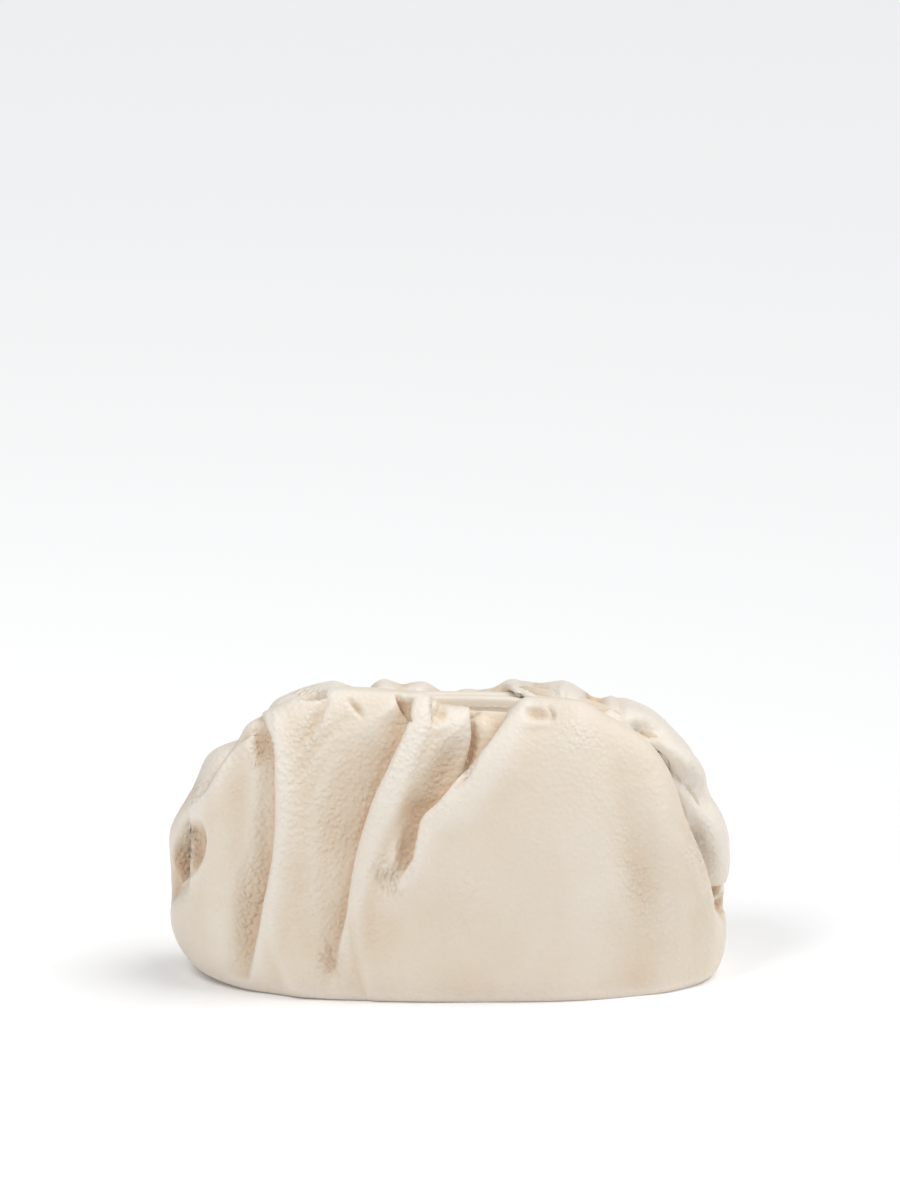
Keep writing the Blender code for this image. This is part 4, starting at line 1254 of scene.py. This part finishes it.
# %% [markdown]
# Where the leather is pinched it wrinkles finely. These wrinkles are too fine for the grid,
# so the material makes them as bumps, but only where the sheet is marked for it. The marks
# are soft spots, by their middles and radii in pixels, and the valleys of the tucks.

# %% Where the leather wrinkles
SPOT_COLUMNS = ("middle", "radii", "turn", "share")
WRINKLED = (
    ((300, 810), (130, 190), 0, 0.45),
    ((420, 760), (70, 90), 15, 0.35),
    ((330, 900), (110, 110), 0, 0.40),
    ((250, 905), (22, 85), 12, 1.0),
    ((264, 760), (24, 60), 0, 0.9),
    ((312, 740), (48, 60), 25, 0.7),
    ((330, 955), (24, 40), 12, 0.8),
    ((200, 790), (30, 26), 0, 0.8),
    ((192, 845), (20, 38), 0, 0.6),
    ((395, 870), (40, 34), 0, 1.0),
    ((425, 800), (30, 40), 35, 0.5),
    ((640, 885), (34, 95), -18, 0.7),
    ((575, 735), (40, 26), 20, 0.5),
    ((700, 848), (24, 48), -14, 1.0),
    ((545, 692), (30, 12), 14, 0.6),
    ((312, 694), (34, 14), 0, 0.9),
    ((455, 900), (50, 60), 0, 0.35),
)


def spots(grid, places):
    """How strongly each place of a grid is marked by soft oval spots in the photo's frame."""
    pixels = seen_at(grid)
    shown = in_view(facing_out(grid))
    total = np.zeros(grid.shape[:2])
    for middle, radii, turn, share in places:
        _, _, away = in_oval(pixels, middle, radii, turn)
        total = np.maximum(total, share * (1.0 - ease(away)))
    return total * shown


VALLEY_WRINKLES = 0.45
crinkle = np.clip(spots(sheet, WRINKLED) + VALLEY_WRINKLES * valley, 0.0, 1.0)
print(len(WRINKLED), "wrinkled spots, by", SPOT_COLUMNS)

# %% [markdown]
# The body is a shell with a real wall. The Solidify modifier could thicken the sheet, but it
# would push the walls of tight tucks through each other. So the inner side follows the broad
# forms only, on a coarser grid, and stays behind the deepest tuck near it by the leather's
# thickness. The two sides join in a rim at the mouth seam, and fans of triangles close both
# bases.

# %% Build the leather body
INNER_STEP = 4
INNER_REACH = 3
INNER_EASING = 12


def sheet_faces(columns, rows, start, flip):
    """Four-sided faces of a grid of points that closes on itself round the loop."""
    faces = []
    for column in range(columns):
        beside = (column + 1) % columns
        for row in range(rows - 1):
            here, there = start + column * rows + row, start + beside * rows + row
            face = (here, here + 1, there + 1, there)
            faces.append(face[::-1] if flip else face)
    return faces


def closing_fan(columns, rows, start, centre, flip):
    """Triangles from a grid's last row to one point."""
    faces = []
    for column in range(columns):
        here = start + column * rows + rows - 1
        there = start + (column + 1) % columns * rows + rows - 1
        faces.append((centre, here, there) if flip else (here, centre, there))
    return faces


def greatest_near(values, reach):
    """The greatest value within a few steps of each place of a grid."""
    found = values.copy()
    for step in range(1, reach + 1):
        for shift in (-step, step):
            found = np.maximum(found, np.roll(values, shift, axis=0))
    down = found.copy()
    for step in range(1, reach + 1):
        down[:, step:] = np.maximum(down[:, step:], found[:, :-step])
        down[:, :-step] = np.maximum(down[:, :-step], found[:, step:])
    return down


def inner_side():
    """The inside of the body, as a coarser grid of points."""
    pressed = np.maximum(-np.sum((sheet - broad) * facing_out(broad), axis=2), 0.0)
    kept_rows = np.append(np.arange(0, len(RUNS) - 1, INNER_STEP), len(RUNS) - 1)
    coarse = eased(broad[::INNER_STEP][:, kept_rows], 1)
    coarse[:, 0] = broad[::INNER_STEP, 0]
    depth = greatest_near(pressed[::INNER_STEP][:, kept_rows], INNER_REACH)
    depth = eased(depth[:, :, None], INNER_EASING)[:, :, 0]
    inside = coarse - facing_out(coarse) * (LEATHER + depth)[:, :, None]
    inside[:, -2:, 2] = LEATHER
    return inside


def piece_from(name, vertices, faces, material):
    """A smooth-shaded object at the origin, with its place in its mesh."""
    mesh = bpy.data.meshes.new(name)
    mesh.from_pydata(np.asarray(vertices, float).tolist(), [], faces)
    mesh.validate()
    mesh.polygons.foreach_set("use_smooth", [True] * len(mesh.polygons))
    mesh.materials.append(material)
    return add_object(name, mesh)


def turn_outwards(piece):
    """Make all faces of a closed piece face outwards."""
    shell = bmesh.new()
    shell.from_mesh(piece.data)
    bmesh.ops.recalc_face_normals(shell, faces=shell.faces)
    shell.to_mesh(piece.data)
    shell.free()


def mark(piece, name, values):
    """Give each point of a piece one number, under a name that a material can read."""
    numbers = piece.data.attributes.new(name, "FLOAT", "POINT")
    numbers.data.foreach_set("value", np.asarray(values, np.float32))


inside = inner_side()
columns, rows = sheet.shape[:2]
inner_columns, inner_rows = inside.shape[:2]
inner_start = columns * rows
outer_centre = inner_start + inner_columns * inner_rows
inner_centre = outer_centre + 1
faces = sheet_faces(columns, rows, 0, False)
faces += closing_fan(columns, rows, 0, outer_centre, False)
faces += sheet_faces(inner_columns, inner_rows, inner_start, True)
faces += closing_fan(inner_columns, inner_rows, inner_start, inner_centre, True)
for inner in range(inner_columns):
    near_corner = inner_start + inner * inner_rows
    far_corner = inner_start + (inner + 1) % inner_columns * inner_rows
    for step in range(INNER_STEP):
        here = (inner * INNER_STEP + step) * rows
        there = (inner * INNER_STEP + step + 1) % columns * rows
        faces.append((here, there, near_corner))
    faces.append((there, far_corner, near_corner))
base_middle = sheet[:, -1].mean(axis=0) * (1.0, 1.0, 0.0)
inner_middle = base_middle + (0.0, 0.0, LEATHER)
vertices = np.concatenate([
    sheet.reshape(-1, 3),
    inside.reshape(-1, 3),
    [base_middle, inner_middle],
])
body = piece_from("leather_body", vertices, faces, cream_leather)
unmarked = np.zeros(len(vertices) - inner_start)
for name, values in (("valley", valley), ("crest", crest), ("crinkle", crinkle)):
    mark(body, name, np.concatenate([values.reshape(-1), unmarked]))
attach(body, "root")
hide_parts("pouch_body")
print("body of", len(faces), "faces")

# %% [markdown]
# A small tab of the same leather covers each hinge pin and closes the end of the mouth, so
# that nobody looks into the bag past the lips. It starts at the seam, climbs over the pin
# and ends short of the lips. Its edges are tucked into the walls of the puffs, so it needs
# no seam of its own. It is swept along the frame's line, as everything at the mouth is.

# %% Tabs over the hinges
TAB_LENGTH = 0.0107
TAB_START = 0.0004
TAB_CLIMB = 0.0050
TAB_LEVEL = 0.0043
TAB_DOME = 0.0010
TAB_THICKNESS = 0.0010
TAB_TUCKED_IN = 0.0008
TAB_STEPS = 20
TAB_ACROSS = 16


def build_tab(name, at_right):
    """A thin closed shell over one hinge pin."""
    along = np.linspace(TAB_START, TAB_LENGTH, TAB_STEPS)
    distance = FRAME_LENGTH - along if at_right else along
    place, outward = frame_place(distance)
    across = np.linspace(-1.0, 1.0, TAB_ACROSS)
    half = mouth_half_width(distance) + TAB_TUCKED_IN
    seam_level = LIP_HEIGHT / 2.0 - SEAM_DROP
    top = seam_level + (TAB_LEVEL - seam_level) * ease(along / TAB_CLIMB)
    sides = []
    for thickness in (0.0, TAB_THICKNESS):
        level = top[:, None] - TAB_DOME * across[None] ** 2 - thickness
        points = place[:, None] + outward[:, None] * level[:, :, None]
        points[:, :, 1] = half[:, None] * across[None]
        sides.append((points + SHIFT).reshape(-1, 3))
    count = TAB_STEPS * TAB_ACROSS
    faces = []
    for step in range(TAB_STEPS - 1):
        for corner in range(TAB_ACROSS - 1):
            here = step * TAB_ACROSS + corner
            there = here + TAB_ACROSS
            faces.append((here, here + 1, there + 1, there))
            faces.append((count + here, count + there, count + there + 1, count + here + 1))
    rim = list(range(TAB_ACROSS))
    rim += [step * TAB_ACROSS + TAB_ACROSS - 1 for step in range(1, TAB_STEPS)]
    rim += [count - 1 - step for step in range(1, TAB_ACROSS)]
    rim += [step * TAB_ACROSS for step in range(TAB_STEPS - 2, 0, -1)]
    for here, there in zip(rim, rim[1:] + rim[:1]):
        faces.append((here, there, count + there, count + here))
    tab = piece_from(name, np.concatenate(sides), faces, cream_leather)
    turn_outwards(tab)
    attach(tab, "root")
    print(name, "of", len(faces), "faces")


build_tab("hinge_tab_left", False)
build_tab("hinge_tab_right", True)

# %% [markdown]
# Each half of the mouth frame is wrapped in leather: a smooth rounded lip with a stitched
# seam along its outer side. Only a short part of the front lip shows between the puffs,
# but both are whole. A curve with a bevel object could make a lip too, but its ends and its
# twist are harder to steer. Here a section with the seam in it is swept along the frame's
# line in code, so that it can't turn.

# %% The two lips
LIP_STEPS = 220
LIP_POINTS = 36
LIP_SQUARENESS = 4.5
LIP_TOUCH = 0.00022
LIP_END_ROUNDING = 0.0025
LIP_END_STEPS = 8
LIP_END_LEAST = 0.35
SEAM_LEVEL = -0.0004
SEAM_DEPTH = 0.00045
SEAM_WIDTH = 0.0009
STITCH_LEVEL = 0.0009


def lip_outline():
    """Points round a lip's section: how far out from its middle, and how far up."""
    angle = np.linspace(0.0, 2.0 * np.pi, LIP_POINTS, endpoint=False)
    out, up = np.cos(angle), np.sin(angle)
    size = (abs(out) ** LIP_SQUARENESS + abs(up) ** LIP_SQUARENESS) ** (1.0 / LIP_SQUARENESS)
    out, up = out / size * LIP_THICKNESS / 2.0, up / size * LIP_HEIGHT / 2.0
    seam = 1.0 - ease(abs(up - SEAM_LEVEL) / SEAM_WIDTH)
    out = out - np.where(out > 0.0, SEAM_DEPTH * seam, 0.0)
    return np.where(out < 0.0, out - LIP_TOUCH, out), up


def build_lip(name, node, side):
    """One lip, swept along the frame, with rounded ends that are closed by flat caps."""
    ends = (LIP_END_CLEARANCE, FRAME_LENGTH - LIP_END_CLEARANCE)
    near_end = np.linspace(0.0, 1.0, LIP_END_STEPS) ** 2 * LIP_END_ROUNDING
    middle = np.linspace(ends[0] + LIP_END_ROUNDING, ends[1] - LIP_END_ROUNDING, LIP_STEPS)
    distance = np.concatenate([ends[0] + near_end[:-1], middle, ends[1] - near_end[:-1][::-1]])
    place, outward = frame_place(distance)
    from_end = np.minimum(distance - ends[0], ends[1] - distance)
    size = np.sqrt(1.0 - (1.0 - np.clip(from_end / LIP_END_ROUNDING, 0.0, 1.0)) ** 2)
    size = LIP_END_LEAST + (1.0 - LIP_END_LEAST) * size
    out, up = lip_outline()
    points = place[:, None] + outward[:, None] * (up[None] * size[:, None])[:, :, None]
    points[:, :, 1] = side * (LIP_GAP / 2.0 + LIP_THICKNESS / 2.0 + out[None] * size[:, None])
    points = points + SHIFT
    steps = len(distance)
    faces = []
    for step in range(steps - 1):
        for corner in range(LIP_POINTS):
            beside = (corner + 1) % LIP_POINTS
            here, there = step * LIP_POINTS, (step + 1) * LIP_POINTS
            face = (here + corner, here + beside, there + beside, there + corner)
            faces.append(face if side > 0 else face[::-1])
    first = tuple(range(LIP_POINTS))
    last = tuple((steps - 1) * LIP_POINTS + corner for corner in range(LIP_POINTS))
    faces.append(first[::-1] if side > 0 else first)
    faces.append(last if side > 0 else last[::-1])
    lip = piece_from(name, points.reshape(-1, 3), faces, lip_leather)
    turn_outwards(lip)
    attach(lip, "root")
    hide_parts(node)
    print(name, "of", len(faces), "faces")


build_lip("lip_front", "frame_front", -1.0)
build_lip("lip_back", "frame_back", 1.0)

# %% [markdown]
# The stitches are short lengths of thread that sit in the lip's seam, all alike. They could
# be copied in a loop, but what repeats along a path is what Geometry Nodes do well. The tree
# turns a line of points into a curve, walks along it in equal steps and sets one small
# rounded thread down at each step, lying along the curve. The result is made a plain mesh.

# %% Stitches along the seams
STITCH_LENGTH = 0.0024
STITCH_STEP = 0.0034
THREAD_RADIUS = 0.00026
STITCH_SIDES = 8
STITCH_RINGS = 6
SEAM_END = 0.004
SEAM_SAMPLES = 400


def stitch_tree(thread):
    """A Geometry Nodes tree that lays stitches along an edge path."""
    tree = bpy.data.node_groups.new("lay_stitches", "GeometryNodeTree")
    sockets = tree.interface
    sockets.new_socket("Path", in_out="INPUT", socket_type="NodeSocketGeometry")
    lengths = {"Step": STITCH_STEP, "Length": STITCH_LENGTH, "Radius": THREAD_RADIUS}
    for name, value in lengths.items():
        socket = sockets.new_socket(name, in_out="INPUT", socket_type="NodeSocketFloat")
        socket.default_value = value
    sockets.new_socket("Stitches", in_out="OUTPUT", socket_type="NodeSocketGeometry")
    given = tree.nodes.new("NodeGroupInput").outputs
    result = tree.nodes.new("NodeGroupOutput")
    curve = put(tree, "GeometryNodeMeshToCurve", {"Mesh": given["Path"]})
    points = put(tree, "GeometryNodeCurveToPoints", {
        "Curve": curve.outputs["Curve"],
        "Length": given["Step"],
    }, mode="LENGTH")
    size = put(tree, "ShaderNodeCombineXYZ", {
        "X": given["Radius"],
        "Y": given["Radius"],
        "Z": sum_of(tree, given["Length"], 0.5, "MULTIPLY"),
    })
    bead = put(tree, "GeometryNodeMeshUVSphere", {
        "Segments": STITCH_SIDES,
        "Rings": STITCH_RINGS,
        "Radius": 1.0,
    })
    laid = put(tree, "GeometryNodeInstanceOnPoints", {
        "Points": points.outputs["Points"],
        "Instance": bead.outputs["Mesh"],
        "Rotation": points.outputs["Rotation"],
        "Scale": size.outputs[0],
    })
    real = put(tree, "GeometryNodeRealizeInstances", {"Geometry": laid.outputs["Instances"]})
    dyed = put(tree, "GeometryNodeSetMaterial", {
        "Geometry": real.outputs["Geometry"],
        "Material": thread,
    })
    feed(tree, result, {"Stitches": dyed.outputs["Geometry"]})
    return tree


def sew(name, side, tree):
    """One row of stitches on a lip's outer side, as a plain mesh."""
    end = LIP_END_CLEARANCE + SEAM_END
    distance = np.linspace(end, FRAME_LENGTH - end, SEAM_SAMPLES)
    place, outward = frame_place(distance)
    path = place + outward * STITCH_LEVEL
    path[:, 1] = side * (LIP_GAP / 2.0 + LIP_THICKNESS)
    guide_mesh = bpy.data.meshes.new(name + "_path")
    edges = [(index, index + 1) for index in range(SEAM_SAMPLES - 1)]
    guide_mesh.from_pydata((path + SHIFT).tolist(), edges, [])
    guide = add_object(name + "_path", guide_mesh)
    layer = guide.modifiers.new("stitches", "NODES")
    layer.node_group = tree
    for item in tree.interface.items_tree:
        if item.in_out == "INPUT" and item.name == "Step":
            layer[item.identifier] = STITCH_STEP
    ready = guide.evaluated_get(bpy.context.evaluated_depsgraph_get())
    mesh = bpy.data.meshes.new_from_object(ready)
    guide.modifiers.remove(layer)
    bpy.data.objects.remove(guide)
    mesh.name = name
    mesh.materials.clear()
    mesh.materials.append(seam_thread)
    mesh.polygons.foreach_set("material_index", [0] * len(mesh.polygons))
    mesh.polygons.foreach_set("use_smooth", [True] * len(mesh.polygons))
    row = add_object(name, mesh)
    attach(row, "root")
    print(name, "of", len(mesh.polygons), "faces")


laying = stitch_tree(seam_thread)
sew("stitches_front", -1.0, laying)
sew("stitches_back", 1.0, laying)

# %% [markdown]
# The hinge pins are plain round pins under the tabs, where hardly anything shows. They keep
# the shape of the solids and only get a better metal.

# %% Metal on the hinge pins
for node in ("hinge_left", "hinge_right"):
    for pin_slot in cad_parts[node].material_slots:
        pin_slot.material = pin_metal
    print(node, "finished in", pin_metal.name)

# %% [markdown]
# The photograph has a plain white floor that runs on without an edge, and light so soft
# that only a faint shadow lies under the bag. A wide white plane stands in for the paper,
# with a little light of its own. A sun with a very wide disc is the overhead light, and a
# soft box on the left models the folds.

# %% Floor and light
FLOOR_REACH = 12.0
BAG_MIDDLE = (0.0, 0.0, 0.05)
WORLD_COLOUR = (0.95, 0.97, 1.0, 1.0)
WORLD_STRENGTH = 0.30
OVERHEAD_POWER = 2.0
OVERHEAD_ANGLE = math.radians(55.0)
OVERHEAD_FROM = (0.56, 0.02, 0.82)
BOX_PLACE = (-0.60, -0.65, 1.15)
BOX_SIZE = 0.5
BOX_POWER = 7.2
BOX_COLOUR = (1.0, 0.99, 0.98)

floor_mesh = bpy.data.meshes.new("studio_floor")
corners = [(x * FLOOR_REACH, y * FLOOR_REACH, 0.0) for x, y in ((-1, -1), (1, -1), (1, 1), (-1, 1))]
floor_mesh.from_pydata(corners, [], [(0, 1, 2, 3)])
floor = add_object("studio_floor", floor_mesh)
paper, tree, shader = new_finish("paper")
feed(tree, shader, {
    "Base Color": (0.96, 0.96, 0.96, 1.0),
    "Roughness": 1.0,
    "Emission Color": (1.0, 1.0, 1.0, 1.0),
    "Emission Strength": 0.06,
})
floor.data.materials.append(paper)

world = bpy.data.worlds.new("studio")
bpy.context.scene.world = world
world.use_nodes = True
background = world.node_tree.nodes["Background"]
feed(world.node_tree, background, {"Color": WORLD_COLOUR, "Strength": WORLD_STRENGTH})

sun = bpy.data.lights.new("overhead_light", "SUN")
sun.energy = OVERHEAD_POWER
sun.angle = OVERHEAD_ANGLE
overhead = add_object("overhead_light", sun)
overhead.rotation_euler = Vector(OVERHEAD_FROM).to_track_quat("Z", "Y").to_euler()

box = bpy.data.lights.new("left_light", "AREA")
box.shape = "RECTANGLE"
box.size = BOX_SIZE
box.size_y = BOX_SIZE
box.energy = BOX_POWER
box.color = BOX_COLOUR
left = add_object("left_light", box)
left.location = BOX_PLACE
to_bag = Vector(BAG_MIDDLE) - Vector(BOX_PLACE)
left.rotation_euler = to_bag.to_track_quat("-Z", "Y").to_euler()
print("lights", overhead.name, left.name)

# %% [markdown]
# The camera looks down at the bag from 4 m away with a long lens, so that sizes hardly
# shrink with distance, as in the photograph. It aims at the bag's middle row, and tilts up
# by as much as that row lies under the middle of the picture.

# %% Camera
CAMERA_DISTANCE = 4.0
SENSOR = 36.0
BAG_ROW = 845.0

eye = bpy.data.cameras.new("photo_camera")
camera = add_object("photo_camera", eye)
target = np.array([
    (PHOTO_WIDTH / 2 - PHOTO_MIDDLE_COLUMN) * PIXEL,
    0.0,
    (PHOTO_FLOOR_ROW - BAG_ROW) * PIXEL / math.cos(CAMERA_ELEVATION),
])
camera.location = target + TOWARDS_CAMERA * CAMERA_DISTANCE
tilt = math.atan((BAG_ROW - PHOTO_HEIGHT / 2) * PIXEL / CAMERA_DISTANCE)
camera.rotation_euler = (math.pi / 2 - CAMERA_ELEVATION + tilt, 0.0, 0.0)
eye.sensor_width = SENSOR
eye.lens = SENSOR * CAMERA_DISTANCE / (PHOTO_HEIGHT * PIXEL)
eye.clip_end = 50.0
bpy.context.scene.camera = camera
bpy.context.scene.view_settings.view_transform = "Standard"
print("lens", round(eye.lens, 1), "mm")
